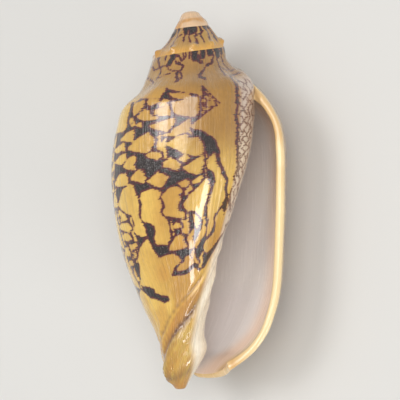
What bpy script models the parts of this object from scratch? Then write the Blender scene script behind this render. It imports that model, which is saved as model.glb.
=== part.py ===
"""Volute shell: one right-handed snail shell, lying on its back with the aperture up.

The wall is worked out in the shell's own frame and then turned into the pose in which it rests.
In the shell's own frame +Z runs along the coiling axis towards the apex, +X is the side of the
outer lip and -Y is the side that the aperture faces. Lengths in the tables are millimetres.

Every point of the wall has two coordinates: how many turns of the spiral it lies behind the
outer lip, and where it lies along the lip line, from the suture at the top to the tip of the
columella. A table gives the lip line at each quarter turn, and cubic curves join its points
both ways.
"""

import math

import bmesh
import bpy
import numpy as np
from mathutils import Matrix

MM = 0.001

# Pose and place
LIP_ANGLE = math.radians(-18.0)     # where the outer lip stands round the coiling axis
REST_ROLL = math.radians(24.1)      # roll about the length in which the shell rests on its back
REST_PITCH = math.radians(-0.46)     # and the tilt of its length

# Driving sizes, in millimetres
LENGTH = 85.0                       # apex to tip of the columella
SPIRE_TURNS = 3.5                   # turns behind the lip at which the spiral ends
CAVITY_TURNS = 0.75                 # how far the hollow runs in behind the lip
NOTCH_TURNS = 0.31                  # how far round the back the siphonal notch runs
TIP_RING = (1.4, 0.15)              # radius and height of the tip's last ring
TIP_SHIFT = 3.0                     # sideways bend of the base towards the left
TIP_SHIFT_HEIGHT = 26.0             # height below which the base bends
APEX_SHIFT = 0.45                   # sideways lean of the apex towards the left
WALL = 1.25                         # wall thickness inside
LIP_WALL = 1.9                      # wall thickness at the lip's edge
KNOBS_PER_TURN = 10                 # spines round the shoulder
RIDGES = (0.1, 0.2, 0.25, 0.35)     # turns behind the lip of the back's strongest lines of growth
RIDGE_HEIGHT = 0.35                 # how far they stand out; the shell rests on two of them

# Mesh fineness
COLUMNS = 60                        # columns of faces to one turn
ROWS_SHOULDER = 6                   # rows from the suture to the next suture
ROWS_WALL = 3                       # rows under the lip's joint, also steps round the lip's edge
ROWS_SIDE = 15                      # rows from there to the tip
ROWS_TIP = 3                        # last rows, where the canal's floor joins the columella

# Places along the lip line, in millimetres of the last whorl's line
STATION_T = np.array([0.0, 6.7, 10.7, 13.4, 18.4, 27.1, 38.3, 48.0, 59.0, 66.2, 71.6, 76.1, 79.6])
T_SUTURE = STATION_T[3]
T_UNDER_LIP = T_SUTURE + 5.0
T_TIP_JOINT = 77.4
T_END = STATION_T[-1]

# Lip line at each quarter turn behind the lip: (radius, height) at each station, from the suture
# over the ramp and the shoulder, down the side and the belly, to the waist and the tip.
SECTIONS = np.array([
    # 0.00, the outer lip
    [(14.0, 68.2), (17.2, 65.0), (19.5, 61.3), (20.5, 58.6), (21.2, 54.0), (21.3, 45.5), (21.1, 36.0),
     (20.7, 26.0), (20.0, 17.0), (18.9, 12.0), (16.8, 8.4), (14.2, 6.0), (11.8, 4.4)],
    # 0.25, the back
    [(11.6, 71.2), (14.3, 66.9), (17.0, 63.4), (18.3, 60.6), (19.0, 55.8), (19.3, 47.2), (18.9, 36.8),
     (17.8, 26.8), (15.3, 17.3), (12.4, 11.0), (9.6, 6.6), (7.6, 4.3), (6.3, 2.9)],
    # 0.50, the left side
    [(9.7, 73.3), (12.2, 67.4), (15.3, 64.5), (17.0, 62.2), (18.0, 57.3), (18.6, 48.6), (18.1, 37.4),
     (16.1, 27.9), (11.3, 18.0), (7.1, 12.0), (4.9, 7.4), (3.7, 3.2), (1.4, 0.15)],
    # 0.75, the front
    [(8.2, 75.2), (10.7, 70.4), (14.0, 67.2), (15.4, 65.2), (16.0, 61.0), (16.2, 53.5), (15.0, 43.0),
     (11.7, 33.0), (7.5, 23.0), (5.4, 15.5), (4.9, 9.0), (4.0, 3.8), (1.4, 0.15)],
    # 1.00, the columella side of the aperture
    [(7.1, 76.8), (8.3, 72.8), (11.9, 69.9), (14.0, 68.2), (14.2, 65.0), (13.9, 58.5), (12.6, 50.5),
     (8.9, 39.0), (5.4, 28.0), (4.0, 19.0), (4.1, 12.4), (5.1, 7.6), (1.4, 0.15)],
    # 1.25, in the hollow behind it
    [(6.0, 78.3), (7.7, 75.4), (10.5, 72.5), (11.6, 71.2), (12.0, 68.0), (11.6, 62.0), (10.2, 54.0),
     (7.4, 43.0), (4.9, 31.0), (3.9, 21.0), (3.7, 12.0), (4.2, 6.0), (1.4, 0.15)],
    # 1.50 and on: only the ramp and shoulder show, the rest is the inner wall of the hollow
    [(4.9, 80.3), (6.6, 77.0), (8.9, 74.6), (9.7, 73.3), (10.0, 70.5), (9.7, 65.0), (8.4, 57.0),
     (6.2, 47.0), (4.5, 35.0), (3.8, 25.0), (3.6, 18.0), (3.6, 12.0), (3.4, 9.0)],
    [(4.5, 81.1), (6.0, 78.5), (7.7, 76.3), (8.2, 75.2), (8.4, 72.5), (8.0, 68.0), (7.0, 61.0),
     (5.3, 52.0), (4.2, 42.0), (3.7, 33.0), (3.5, 27.0), (3.5, 22.0), (3.4, 20.0)],
    [(4.2, 81.7), (5.2, 79.8), (6.6, 77.8), (7.1, 76.8), (7.2, 74.0), (6.7, 70.0), (6.0, 64.0),
     (4.8, 56.0), (4.0, 47.0), (3.6, 40.0), (3.5, 35.0), (3.5, 31.0), (3.4, 29.0)],
    [(3.95, 82.3), (4.75, 80.9), (5.7, 79.2), (6.0, 78.3)] + [(5.9, 75.0)] * 9,
    [(3.65, 82.9), (4.3, 82.1), (4.8, 81.0), (4.9, 80.3)] + [(4.8, 77.0)] * 9,
    [(3.2, 83.6), (3.8, 83.0), (4.35, 82.0), (4.5, 81.1)] + [(4.3, 78.0)] * 9,
    [(2.55, 84.2), (3.2, 83.8), (4.0, 82.8), (4.2, 81.7)] + [(4.0, 79.0)] * 9,
    [(1.75, 84.65), (2.5, 84.35), (3.6, 83.3), (3.95, 82.3)] + [(3.8, 80.0)] * 9,
    [(0.85, 84.93), (1.7, 84.75), (3.1, 83.9), (3.65, 82.9)] + [(3.5, 81.0)] * 9,
    [(0.3, 85.0), (0.9, 84.95), (2.4, 84.3), (3.2, 83.6)] + [(3.0, 82.0)] * 9,
])

# Edge of the siphonal notch: turns behind the lip, radius and height, from the lip's lower end
# round the back to the tip.
NOTCH_EDGE = np.array([(0.0, 11.8, 4.4), (0.05, 10.3, 3.1), (0.12, 8.9, 2.3), (0.2, 7.4, 2.3),
                       (0.26, 6.0, 2.9), (NOTCH_TURNS, *TIP_RING)])


def smooth(value):
    """Smooth step from 0 to 1 as value runs from 0 to 1."""
    v = np.clip(value, 0.0, 1.0)
    return v * v * (3.0 - 2.0 * v)


def cubic_weights(knots, at):
    """Weights of a cubic curve through the knots, one row for each place in `at`."""
    knots = np.asarray(knots, float)
    at = np.clip(np.atleast_1d(np.asarray(at, float)), knots[0], knots[-1])
    count = len(knots)
    eye = np.eye(count)
    gaps = np.diff(knots)
    slopes = np.diff(eye, axis=0) / gaps[:, None]
    tangents = np.empty_like(eye)
    tangents[0] = slopes[0]
    tangents[-1] = slopes[-1]
    share = (gaps[1:] / (gaps[:-1] + gaps[1:]))[:, None]
    tangents[1:-1] = share * slopes[:-1] + (1.0 - share) * slopes[1:]
    cell = np.clip(np.searchsorted(knots, at, side='right') - 1, 0, count - 2)
    gap = gaps[cell][:, None]
    u = (at - knots[cell])[:, None] / gap
    return ((2 * u**3 - 3 * u**2 + 1) * eye[cell]
            + (u**3 - 2 * u**2 + u) * gap * tangents[cell]
            + (-2 * u**3 + 3 * u**2) * eye[cell + 1]
            + (u**3 - u**2) * gap * tangents[cell + 1])


SECTION_G = 0.25 * np.arange(len(SECTIONS))


def stations(g):
    """Lip-line stations at each number of turns g behind the lip, as an array (g, station, 2)."""
    g = np.asarray(g, float)
    points = np.einsum('gk,ksc->gsc', cubic_weights(SECTION_G, g), SECTIONS)
    suture_behind = np.einsum('gk,kc->gc', cubic_weights(SECTION_G, np.maximum(g - 1.0, 0.0)), SECTIONS[:, 0])
    behind = g >= 1.0
    points[behind, 3] = suture_behind[behind]
    ring = np.array(TIP_RING)
    past = smooth((g - NOTCH_TURNS - 1.0) / 0.2)[:, None]
    points[:, -1] = ring + (points[:, -1] - ring) * past
    edge = cubic_weights(NOTCH_EDGE[:, 0], g) @ NOTCH_EDGE[:, 1:]
    notched = g < NOTCH_TURNS
    points[notched, -1] = edge[notched]
    return points


def line_points(g, t):
    """Radius and height at every (g, t), with the outward normal in the plane of the axis."""
    weights = cubic_weights(STATION_T, t)
    step = 0.02
    ahead = cubic_weights(STATION_T, np.minimum(np.asarray(t) + step, T_END))
    back = cubic_weights(STATION_T, np.maximum(np.asarray(t) - step, 0.0))
    points = stations(g)
    line = np.einsum('ts,gsc->gtc', weights, points)
    along = np.einsum('ts,gsc->gtc', ahead - back, points)
    along /= np.maximum(np.linalg.norm(along, axis=2, keepdims=True), 1e-9)
    normal = np.stack([-along[..., 1], along[..., 0]], axis=2)
    return line, normal


def relief(g, t):
    """Height of the shoulder's spines and knobs and of the back's low ridges of growth. It falls
    to nothing at both edges of the ramp, where one whorl meets the next."""
    g = np.asarray(g, float)[:, None]
    t = np.asarray(t, float)[None, :]
    turn = g * KNOBS_PER_TURN
    beat = np.abs(turn - np.round(turn)) / KNOBS_PER_TURN
    sharp = smooth((g - 0.75) / 0.6)
    reach = np.exp(-(beat / (0.030 - 0.008 * sharp)) ** 2)
    high = (0.35 + 0.55 * sharp) * smooth((g - 0.02) / 0.35) * smooth((2.6 - g) / 0.5)
    knobs = high * reach * np.exp(-((t - 10.9) / (2.4 - 0.9 * sharp)) ** 2)
    ridges = np.zeros_like(knobs)
    for line in RIDGES:
        ridges += RIDGE_HEIGHT * np.exp(-((g - line) / 0.009) ** 2)
    ridges *= smooth((t - 13.0) / 6.0) * smooth((64.0 - t) / 10.0)
    behind = smooth((g - 0.93) / 0.07)
    joint = smooth(np.abs(T_SUTURE - t) / 1.5)
    return (knobs + ridges) * smooth(t / 0.8) * (1.0 - behind * (1.0 - joint))


def place(g, radius, height):
    """Points in the shell's own frame from turns, radius and height."""
    angle = LIP_ANGLE + 2.0 * math.pi * g
    shift = np.where(height < TIP_SHIFT_HEIGHT,
                     0.5 * TIP_SHIFT * (1.0 + np.cos(math.pi * np.clip(height, 0.0, None) / TIP_SHIFT_HEIGHT)),
                     0.0)
    shift = shift + APEX_SHIFT * smooth((height - 79.0) / 5.0)
    return np.stack([radius * np.cos(angle) - shift, radius * np.sin(angle), height], axis=-1)


def outer_wall(g, t):
    """Outer face of the wall at every (g, t)."""
    line, normal = line_points(g, t)
    lift = relief(g, t)[..., None]
    line = line + normal * lift
    return place(np.asarray(g)[:, None], line[..., 0], line[..., 1])


def inner_wall(g, t_joint):
    """Inner face of the wall at every g, from the joint under the suture down to the canal."""
    rows = len(t_joint)
    part = np.linspace(0.0, 1.0, rows)[None, :]
    g = np.asarray(g, float)
    low = np.interp(g, [0.0, NOTCH_TURNS, 0.5, 0.75, 1.0], [T_END, T_END, 68.5, 62.0, 58.0])
    points = stations(g)
    shape = np.asarray(t_joint)[None, :] / T_END
    result = np.empty((len(g), rows, 2))
    for i in range(len(g)):
        t = shape[0] * low[i]
        line, normal = line_points(g[i:i + 1], t)
        thick = WALL + (LIP_WALL - WALL) * math.exp(-g[i] / 0.035)
        result[i] = line[0] - normal[0] * thick
    top, _ = line_points(g + 1.0, [T_UNDER_LIP])
    bottom, _ = line_points(g + 1.0, [T_TIP_JOINT])
    result += (top - result[:, :1]) * (1.0 - smooth(part / 0.2))[..., None]
    closed = (g >= NOTCH_TURNS - 1e-9)
    pull = smooth((part - 0.80) / 0.20)[..., None]
    result[closed] += (bottom - result[:, -1:])[closed] * pull
    return place(g[:, None], result[..., 0], result[..., 1])


def grid_faces(columns, rows, first=0, flip=False):
    """Quads of a grid whose point (i, j) has the index first + i * rows + j."""
    i, j = np.meshgrid(np.arange(columns - 1), np.arange(rows - 1), indexing='ij')
    a = first + i * rows + j
    quads = np.stack([a, a + 1, a + rows + 1, a + rows], axis=-1).reshape(-1, 4)
    return quads[:, ::-1] if flip else quads


def build_shell():
    """One closed mesh of the whole wall."""
    step = 1.0 / COLUMNS
    t_top = np.linspace(0.0, T_SUTURE, ROWS_SHOULDER + 1)
    t_joint = np.linspace(T_SUTURE, T_UNDER_LIP, ROWS_WALL + 1)
    t_side = np.linspace(T_UNDER_LIP, T_TIP_JOINT, ROWS_SIDE + 1)
    t_tip = np.linspace(T_TIP_JOINT, T_END, ROWS_TIP + 1)
    t_all = np.concatenate([t_top, t_joint[1:], t_side[1:], t_tip[1:]])
    under = ROWS_SHOULDER + ROWS_WALL
    joint_row = under + ROWS_SIDE
    notch = int(round(NOTCH_TURNS * COLUMNS))
    depth = int(round(CAVITY_TURNS * COLUMNS))
    spire = int(round(SPIRE_TURNS * COLUMNS))

    vertices = []
    faces = []
    count = 0

    def add(points, flip=False):
        nonlocal count
        columns, rows = points.shape[:2]
        vertices.append(points.reshape(-1, 3))
        faces.extend(grid_faces(columns, rows, count, flip).tolist())
        count += columns * rows

    g_body = step * np.arange(0, COLUMNS + 1)
    body = outer_wall(g_body, t_all)
    add(body)
    g_spire = step * np.arange(COLUMNS, spire + 1)
    add(outer_wall(g_spire, t_top))
    g_deep = step * np.arange(COLUMNS, COLUMNS + depth + 1)
    t_deep = t_all[under:]
    deep = outer_wall(g_deep, t_deep)
    add(deep[:notch + 1])
    add(deep[notch:, :ROWS_SIDE + 1])

    g_in = step * np.arange(0, depth + 1)
    inner = inner_wall(g_in, t_all)
    add(inner, flip=True)

    # The lip's rounded edge, then the edge of the notch
    turn = np.linspace(0.0, math.pi, ROWS_WALL + 1)
    forward = np.array([math.sin(LIP_ANGLE), -math.cos(LIP_ANGLE), 0.0])
    down = np.array([0.0, 0.0, -1.0])

    def edge(outside, inside, direction, high):
        middle = 0.5 * (outside + inside)
        half = 0.5 * (outside - inside)
        reach = np.linalg.norm(half, axis=1)[:, None, None] * high[:, None, None]
        return (middle[:, None] + half[:, None] * np.cos(turn)[None, :, None]
                + direction[:, None] * reach * np.sin(turn)[None, :, None])

    rows = len(t_all)
    part = np.linspace(0.0, 1.0, rows)
    lean = smooth((part - 0.85) / 0.15)[:, None] * 0.6
    way = forward * (1.0 - lean) + down * lean
    way /= np.linalg.norm(way, axis=1)[:, None]
    lip = edge(body[0], inner[0], way, 0.9 * smooth(part / 0.06))
    lip[0] = body[-1, ROWS_SHOULDER:under + 1]
    add(lip, flip=True)
    part = np.linspace(0.0, 1.0, notch + 1)
    lean = (0.6 + 0.4 * smooth(part / 0.3))[:, None]
    way2 = forward * (1.0 - lean) + down * lean
    way2 /= np.linalg.norm(way2, axis=1)[:, None]
    rim = edge(body[:notch + 1, -1], inner[:notch + 1, -1], way2, 0.9 * (1.0 - smooth((part - 0.6) / 0.4)))
    rim[-1] = deep[notch, ROWS_SIDE:][::-1]
    rim[0] = lip[-1]
    add(rim)

    mesh = bpy.data.meshes.new("shell")
    mesh.from_pydata(np.concatenate(vertices).tolist(), [], faces)
    work = bmesh.new()
    work.from_mesh(mesh)
    bmesh.ops.remove_doubles(work, verts=work.verts, dist=0.002)
    bmesh.ops.dissolve_degenerate(work, dist=1e-4, edges=work.edges)
    holes = [e for e in work.edges if e.is_boundary]
    bmesh.ops.holes_fill(work, edges=holes, sides=0)
    bmesh.ops.triangulate(work, faces=[f for f in work.faces if len(f.verts) > 4])
    bmesh.ops.recalc_face_normals(work, faces=work.faces)
    if any(not edge.is_manifold for edge in work.edges):
        raise RuntimeError("the shell's wall is not closed")
    work.to_mesh(mesh)
    work.free()
    return mesh


def material():
    """Glossy golden tan of the outer face."""
    shade = bpy.data.materials.new("shell_glaze")
    shade.use_nodes = True
    bsdf = shade.node_tree.nodes["Principled BSDF"]
    bsdf.inputs["Base Color"].default_value = (0.58, 0.35, 0.11, 1.0)
    bsdf.inputs["Roughness"].default_value = 0.22
    bsdf.inputs["Metallic"].default_value = 0.0
    return shade


def main():
    for item in list(bpy.data.objects):
        bpy.data.objects.remove(item, do_unlink=True)
    mesh = build_shell()
    lay_down = Matrix.Rotation(math.radians(-90.0), 4, 'X')
    rest = Matrix.Rotation(REST_PITCH, 4, 'X') @ Matrix.Rotation(REST_ROLL, 4, 'Y')
    mesh.transform(rest @ lay_down @ Matrix.Scale(MM, 4))
    box = np.array([v.co[:] for v in mesh.vertices])
    low, high = box.min(axis=0), box.max(axis=0)
    centre = 0.5 * (low + high)
    mesh.transform(Matrix.Translation((-centre[0], -centre[1], -low[2])))
    mesh.materials.append(material())
    mesh.shade_smooth()
    shell = bpy.data.objects.new("shell", mesh)
    bpy.context.scene.collection.objects.link(shell)


if __name__ == "__main__":
    main()
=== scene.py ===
"""Volute shell: the looks of one right-handed snail shell lying on its back.

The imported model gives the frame: the shell rests where its node `shell` is. The shell here is
the same spiral wall at a finer mesh, with its spines, growth lines, folds and painted markings.

The wall is worked out in the shell's own frame, in millimetres: +Z runs along the coiling axis
towards the apex, +X is the side of the outer lip, -Y the side that the aperture faces. A point
of the wall is named by how many turns of the spiral it lies behind the outer lip and by its
place along the lip line, from the suture at the top to the tip of the columella.
"""

import math

import bmesh
import bpy
import numpy as np
from bpy.props import FloatProperty, FloatVectorProperty, IntProperty, PointerProperty
from mathutils import Matrix, Vector


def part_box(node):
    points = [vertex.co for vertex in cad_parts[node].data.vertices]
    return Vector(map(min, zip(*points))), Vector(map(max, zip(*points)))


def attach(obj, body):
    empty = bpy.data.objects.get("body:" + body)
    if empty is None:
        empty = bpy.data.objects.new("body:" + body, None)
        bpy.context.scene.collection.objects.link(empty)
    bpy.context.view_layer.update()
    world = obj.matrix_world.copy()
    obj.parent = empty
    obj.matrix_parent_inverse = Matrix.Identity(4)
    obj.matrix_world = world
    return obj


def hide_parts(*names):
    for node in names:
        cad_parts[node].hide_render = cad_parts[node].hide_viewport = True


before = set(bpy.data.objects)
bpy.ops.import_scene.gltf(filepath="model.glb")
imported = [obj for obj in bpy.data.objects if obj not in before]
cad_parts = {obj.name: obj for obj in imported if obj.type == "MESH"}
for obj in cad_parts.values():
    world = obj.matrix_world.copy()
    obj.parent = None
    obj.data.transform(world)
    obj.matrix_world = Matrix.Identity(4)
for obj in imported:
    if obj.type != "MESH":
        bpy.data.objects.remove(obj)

bl_info = {
    "name": "Volute Shell",
    "version": (1, 0, 0),
    "blender": (4, 5, 0),
    "location": "3D View > Sidebar > Volute Shell",
    "description": "Grows a glossy volute shell with tented markings and sets up its studio",
    "category": "Object",
}

MM = 0.001

# Pose in which the shell rests
LIP_ANGLE = math.radians(-18.0)     # where the outer lip stands round the coiling axis
REST_ROLL = math.radians(24.1)      # roll about the length in which the shell rests on its back
REST_PITCH = math.radians(-0.46)    # and the tilt of its length

# Driving sizes of the wall, in millimetres and turns
SPIRE_TURNS = 3.5                   # turns behind the lip at which the spiral ends
CAVITY_TURNS = 0.75                 # how far the hollow runs in behind the lip
NOTCH_TURNS = 0.31                  # how far round the back the siphonal notch runs
TIP_RING = (1.4, 0.15)              # radius and height of the tip's last ring
TIP_SHIFT = 3.0                     # sideways bend of the base towards the left
TIP_SHIFT_HEIGHT = 26.0             # height below which the base bends
APEX_SHIFT = 0.45                   # sideways lean of the apex towards the left
APEX_SHIFT_HEIGHT = 79.0            # height above which the apex leans
APEX_SHIFT_SPAN = 5.0               # how much higher the lean is full
WALL = 1.25                         # wall thickness inside
LIP_WALL = 1.9                      # wall thickness at the lip's edge

# Relief, in millimetres and turns
T_SPINES = 10.9                     # place of the spines along the lip line
KNOB_HEIGHT = 0.45                  # height of the low knobs that the spines die out to
RIDGES = (0.1, 0.2, 0.25, 0.35)     # turns behind the lip of the strongest lines of growth
RIDGE_HEIGHT = 0.35
PLAITS = ((55.0, 0.30), (60.5, 0.36), (66.0, 0.30))     # place and height on the columella

# Mesh fineness. One turn of the outside has finer columns on the side that lies up; the inner
# walls have one column to each NOTCH_RATIO of the notch's.
COLUMNS = {"notch": 96, "back": 57, "front": 177}
COLUMNS_HOLLOW = 24
NOTCH_RATIO = 3
RIM_STEPS = 8                       # steps round the lip's edge, and the rows that they meet
ROWS = {"ramp": 24, "joint": RIM_STEPS, "marked": 112, "plain": 18, "tip": RIM_STEPS}
T_MARKED = 62.0                     # place down to which the rows are fine
DOME_RINGS = 8                      # rings of points that close the nucleus
CAP_RINGS = 6                       # and the end of the columella
GROWTH_STEPS = 700                  # steps in which the length grown is summed
NOISE_CELLS = 256                   # cells after which the noise repeats
WELD = 0.0015                       # points nearer than this are joined
SLIVER = 1e-4                       # edges shorter than this are dissolved

# Rectangles (left, right, foot, top) that the parts of the wall take on the bake map
WINDOWS = {
    "body": (0.002, 0.998, 0.002, 0.655),
    "spire": (0.002, 0.998, 0.66, 0.762),
    "nucleus": (0.935, 0.998, 0.905, 0.995),
    "inside": (0.002, 0.62, 0.77, 0.995),
    "columella": (0.625, 0.75, 0.77, 0.995),
    "hollow": (0.755, 0.9, 0.77, 0.995),
    "lip": (0.905, 0.93, 0.77, 0.995),
    "notch": (0.935, 0.96, 0.79, 0.9),
    "notch_foot": (0.935, 0.96, 0.775, 0.775),
    "tip": (0.965, 0.998, 0.77, 0.9),
}

# The camera's sensor, in millimetres, and how far beside the box's middle it aims, in metres
SENSOR = 36.0
AIM_SIDE = -0.0003
LAMP_SPREAD = math.radians(50.0)    # beam of the near lamps, narrow enough to keep a hot spot off the floor

# Places along the lip line, in millimetres of the last whorl's line
STATION_T = np.array([0.0, 6.7, 10.7, 13.4, 18.4, 27.1, 38.3, 48.0, 59.0, 66.2, 71.6, 76.1, 79.6])
T_SUTURE = STATION_T[3]
T_UNDER_LIP = T_SUTURE + 5.0
T_TIP_JOINT = 77.4
T_END = STATION_T[-1]

# Lip line at each quarter turn behind the lip: (radius, height) at each station, from the suture
# over the ramp and the shoulder, down the side and the belly, to the waist and the tip.
SECTIONS = np.array([
    # 0.00, the outer lip
    [(14.0, 68.2), (17.2, 65.0), (19.5, 61.3), (20.5, 58.6), (21.2, 54.0), (21.3, 45.5), (21.1, 36.0),
     (20.7, 26.0), (20.0, 17.0), (18.9, 12.0), (16.8, 8.4), (14.2, 6.0), (11.8, 4.4)],
    # 0.25, the back
    [(11.6, 71.2), (14.3, 66.9), (17.0, 63.4), (18.3, 60.6), (19.0, 55.8), (19.3, 47.2), (18.9, 36.8),
     (17.8, 26.8), (15.3, 17.3), (12.4, 11.0), (9.6, 6.6), (7.6, 4.3), (6.3, 2.9)],
    # 0.50, the left side
    [(9.7, 73.3), (12.2, 67.4), (15.3, 64.5), (17.0, 62.2), (18.0, 57.3), (18.6, 48.6), (18.1, 37.4),
     (16.1, 27.9), (11.3, 18.0), (7.1, 12.0), (4.9, 7.4), (3.7, 3.2), (1.4, 0.15)],
    # 0.75, the front
    [(8.2, 75.2), (10.7, 70.4), (14.0, 67.2), (15.4, 65.2), (16.0, 61.0), (16.2, 53.5), (15.0, 43.0),
     (11.7, 33.0), (7.5, 23.0), (5.4, 15.5), (4.9, 9.0), (4.0, 3.8), (1.4, 0.15)],
    # 1.00, the columella side of the aperture
    [(7.1, 76.8), (8.3, 72.8), (11.9, 69.9), (14.0, 68.2), (14.2, 65.0), (13.9, 58.5), (12.6, 50.5),
     (8.9, 39.0), (5.4, 28.0), (4.0, 19.0), (4.1, 12.4), (5.1, 7.6), (1.4, 0.15)],
    # 1.25, in the hollow behind it
    [(6.0, 78.3), (7.7, 75.4), (10.5, 72.5), (11.6, 71.2), (12.0, 68.0), (11.6, 62.0), (10.2, 54.0),
     (7.4, 43.0), (4.9, 31.0), (3.9, 21.0), (3.7, 12.0), (4.2, 6.0), (1.4, 0.15)],
    # 1.50 and on: only the ramp and shoulder show, the rest is the inner wall of the hollow
    [(4.5, 80.3), (6.3, 77.2), (8.8, 74.6), (9.7, 73.3), (10.0, 70.5), (9.7, 65.0), (8.4, 57.0),
     (6.2, 47.0), (4.5, 35.0), (3.8, 25.0), (3.6, 18.0), (3.6, 12.0), (3.4, 9.0)],
    [(4.1, 81.1), (5.6, 78.5), (7.5, 76.3), (8.2, 75.2), (8.4, 72.5), (8.0, 68.0), (7.0, 61.0),
     (5.3, 52.0), (4.2, 42.0), (3.7, 33.0), (3.5, 27.0), (3.5, 22.0), (3.4, 20.0)],
    [(3.8, 81.7), (4.8, 79.9), (6.4, 77.9), (7.1, 76.8), (7.2, 74.0), (6.7, 70.0), (6.0, 64.0),
     (4.8, 56.0), (4.0, 47.0), (3.6, 40.0), (3.5, 35.0), (3.5, 31.0), (3.4, 29.0)],
    [(3.3, 82.3), (4.1, 81.0), (5.4, 79.3), (6.0, 78.3)] + [(5.9, 75.0)] * 9,
    [(2.85, 82.9), (3.4, 82.1), (4.15, 81.0), (4.5, 80.3)] + [(4.8, 77.0)] * 9,
    [(2.45, 83.6), (3.0, 83.0), (3.8, 82.0), (4.1, 81.1)] + [(4.3, 78.0)] * 9,
    [(2.0, 84.1), (2.6, 83.6), (3.5, 82.6), (3.8, 81.7)] + [(4.0, 79.0)] * 9,
    [(1.4, 84.55), (2.0, 84.2), (3.0, 83.1), (3.3, 82.3)] + [(3.8, 80.0)] * 9,
    [(0.75, 84.9), (1.4, 84.65), (2.6, 83.6), (2.85, 82.9)] + [(3.5, 81.0)] * 9,
    [(0.3, 85.0), (0.85, 84.9), (2.1, 84.1), (2.45, 83.6)] + [(3.0, 82.0)] * 9,
])
SECTION_G = 0.25 * np.arange(len(SECTIONS))

# Edge of the siphonal notch: turns behind the lip, radius and height, from the lip's lower end
# round the back to the tip.
NOTCH_EDGE = np.array([(0.0, 11.8, 4.4), (0.05, 10.3, 3.1), (0.12, 8.9, 2.3), (0.2, 7.4, 2.3),
                       (0.26, 6.0, 2.9), (NOTCH_TURNS, *TIP_RING)])


def tint(red, green, blue):
    """Linear colour of a display colour given from 0 to 255."""
    v = np.array([red, green, blue]) / 255.0
    return tuple(np.where(v <= 0.04045, v / 12.92, ((v + 0.055) / 1.055) ** 2.4).tolist())


# ------------------------------------------------------------------ curves and noise

def smooth(value):
    """Smooth step from 0 to 1 as value runs from 0 to 1."""
    v = np.clip(value, 0.0, 1.0)
    return v * v * (3.0 - 2.0 * v)


def bump(value, centre, width):
    """Bell of height 1 at the centre, falling to about a third at one width from it."""
    return np.exp(-((value - centre) / width) ** 2)


def cubic_weights(knots, at):
    """Weights of a cubic curve through the knots, one row for each place in `at`: between two
    knots the curve is the Hermite cubic whose end slopes are the mean slopes of the spans
    beside each knot, weighed by the other span's length."""
    knots = np.asarray(knots, float)
    at = np.clip(np.asarray(at, float).ravel(), knots[0], knots[-1])
    eye = np.eye(len(knots))
    gaps = np.diff(knots)
    slopes = np.diff(eye, axis=0) / gaps[:, None]
    tangents = np.empty_like(eye)
    tangents[0] = slopes[0]
    tangents[-1] = slopes[-1]
    share = (gaps[1:] / (gaps[:-1] + gaps[1:]))[:, None]
    tangents[1:-1] = share * slopes[:-1] + (1.0 - share) * slopes[1:]
    cell = np.clip(np.searchsorted(knots, at, side='right') - 1, 0, len(knots) - 2)
    gap = gaps[cell][:, None]
    u = (at - knots[cell])[:, None] / gap
    return ((2 * u**3 - 3 * u**2 + 1) * eye[cell]
            + (u**3 - 2 * u**2 + u) * gap * tangents[cell]
            + (-2 * u**3 + 3 * u**2) * eye[cell + 1]
            + (u**3 - u**2) * gap * tangents[cell + 1])


def between_cells(table, i, j, i2, j2, u, v):
    """Value between four cells of a table, straight along both directions."""
    return ((table[i, j] * (1 - u) + table[i2, j] * u) * (1 - v)
            + (table[i, j2] * (1 - u) + table[i2, j2] * u) * v)


def value_noise(seed, x, y):
    """Smooth noise from 0 to 1: random values at whole x and y, joined by smooth steps."""
    table = np.random.default_rng(seed).random((NOISE_CELLS, NOISE_CELLS))
    i = np.floor(x).astype(int)
    j = np.floor(y).astype(int)
    u = smooth(x - i)
    v = smooth(y - j)
    i, j = i % NOISE_CELLS, j % NOISE_CELLS
    return between_cells(table, i, j, (i + 1) % NOISE_CELLS, (j + 1) % NOISE_CELLS, u, v)


# ------------------------------------------------------------------ the wall

def stations(g):
    """Lip-line stations at each number of turns g behind the lip, as an array (g, station, 2)."""
    g = np.asarray(g, float)
    points = np.einsum('gk,ksc->gsc', cubic_weights(SECTION_G, g), SECTIONS)
    above = cubic_weights(SECTION_G, np.maximum(g - 1.0, 0.0))
    suture = np.einsum('gk,kc->gc', above, SECTIONS[:, 0])
    behind = g >= 1.0
    points[behind, 3] = suture[behind]
    ring = np.array(TIP_RING)
    past = smooth((g - NOTCH_TURNS - 1.0) / 0.2)[:, None]
    points[:, -1] = ring + (points[:, -1] - ring) * past
    edge = cubic_weights(NOTCH_EDGE[:, 0], g) @ NOTCH_EDGE[:, 1:]
    notched = g < NOTCH_TURNS
    points[notched, -1] = edge[notched]
    return points


def lip_line(g, t):
    """Radius and height at every (g, t), with the outward normal in the plane of the axis: a
    cubic curve through that column's stations. t is one row of places or one row per column."""
    t = np.broadcast_to(t, (len(g), np.shape(t)[-1]))
    points = stations(g)
    step = 0.02

    def along(at):
        weights = cubic_weights(STATION_T, at).reshape(*at.shape, -1)
        return np.einsum('gts,gsc->gtc', weights, points)

    tangent = along(np.minimum(t + step, T_END)) - along(np.maximum(t - step, 0.0))
    tangent /= np.maximum(np.linalg.norm(tangent, axis=2, keepdims=True), 1e-9)
    return along(t), np.stack([-tangent[..., 1], tangent[..., 0]], axis=2)


def place(g, radius, height):
    """Points in the shell's own frame from turns, radius and height: a spiral about the axis,
    with the base bent sideways by a half cosine and the apex leaned by a smooth step."""
    angle = LIP_ANGLE + 2.0 * math.pi * g
    wave = np.cos(math.pi * np.clip(height, 0.0, None) / TIP_SHIFT_HEIGHT)
    shift = np.where(height < TIP_SHIFT_HEIGHT, 0.5 * TIP_SHIFT * (1.0 + wave), 0.0)
    shift = shift + APEX_SHIFT * smooth((height - APEX_SHIFT_HEIGHT) / APEX_SHIFT_SPAN)
    return np.stack([radius * np.cos(angle) - shift, radius * np.sin(angle), height], axis=-1)


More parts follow.
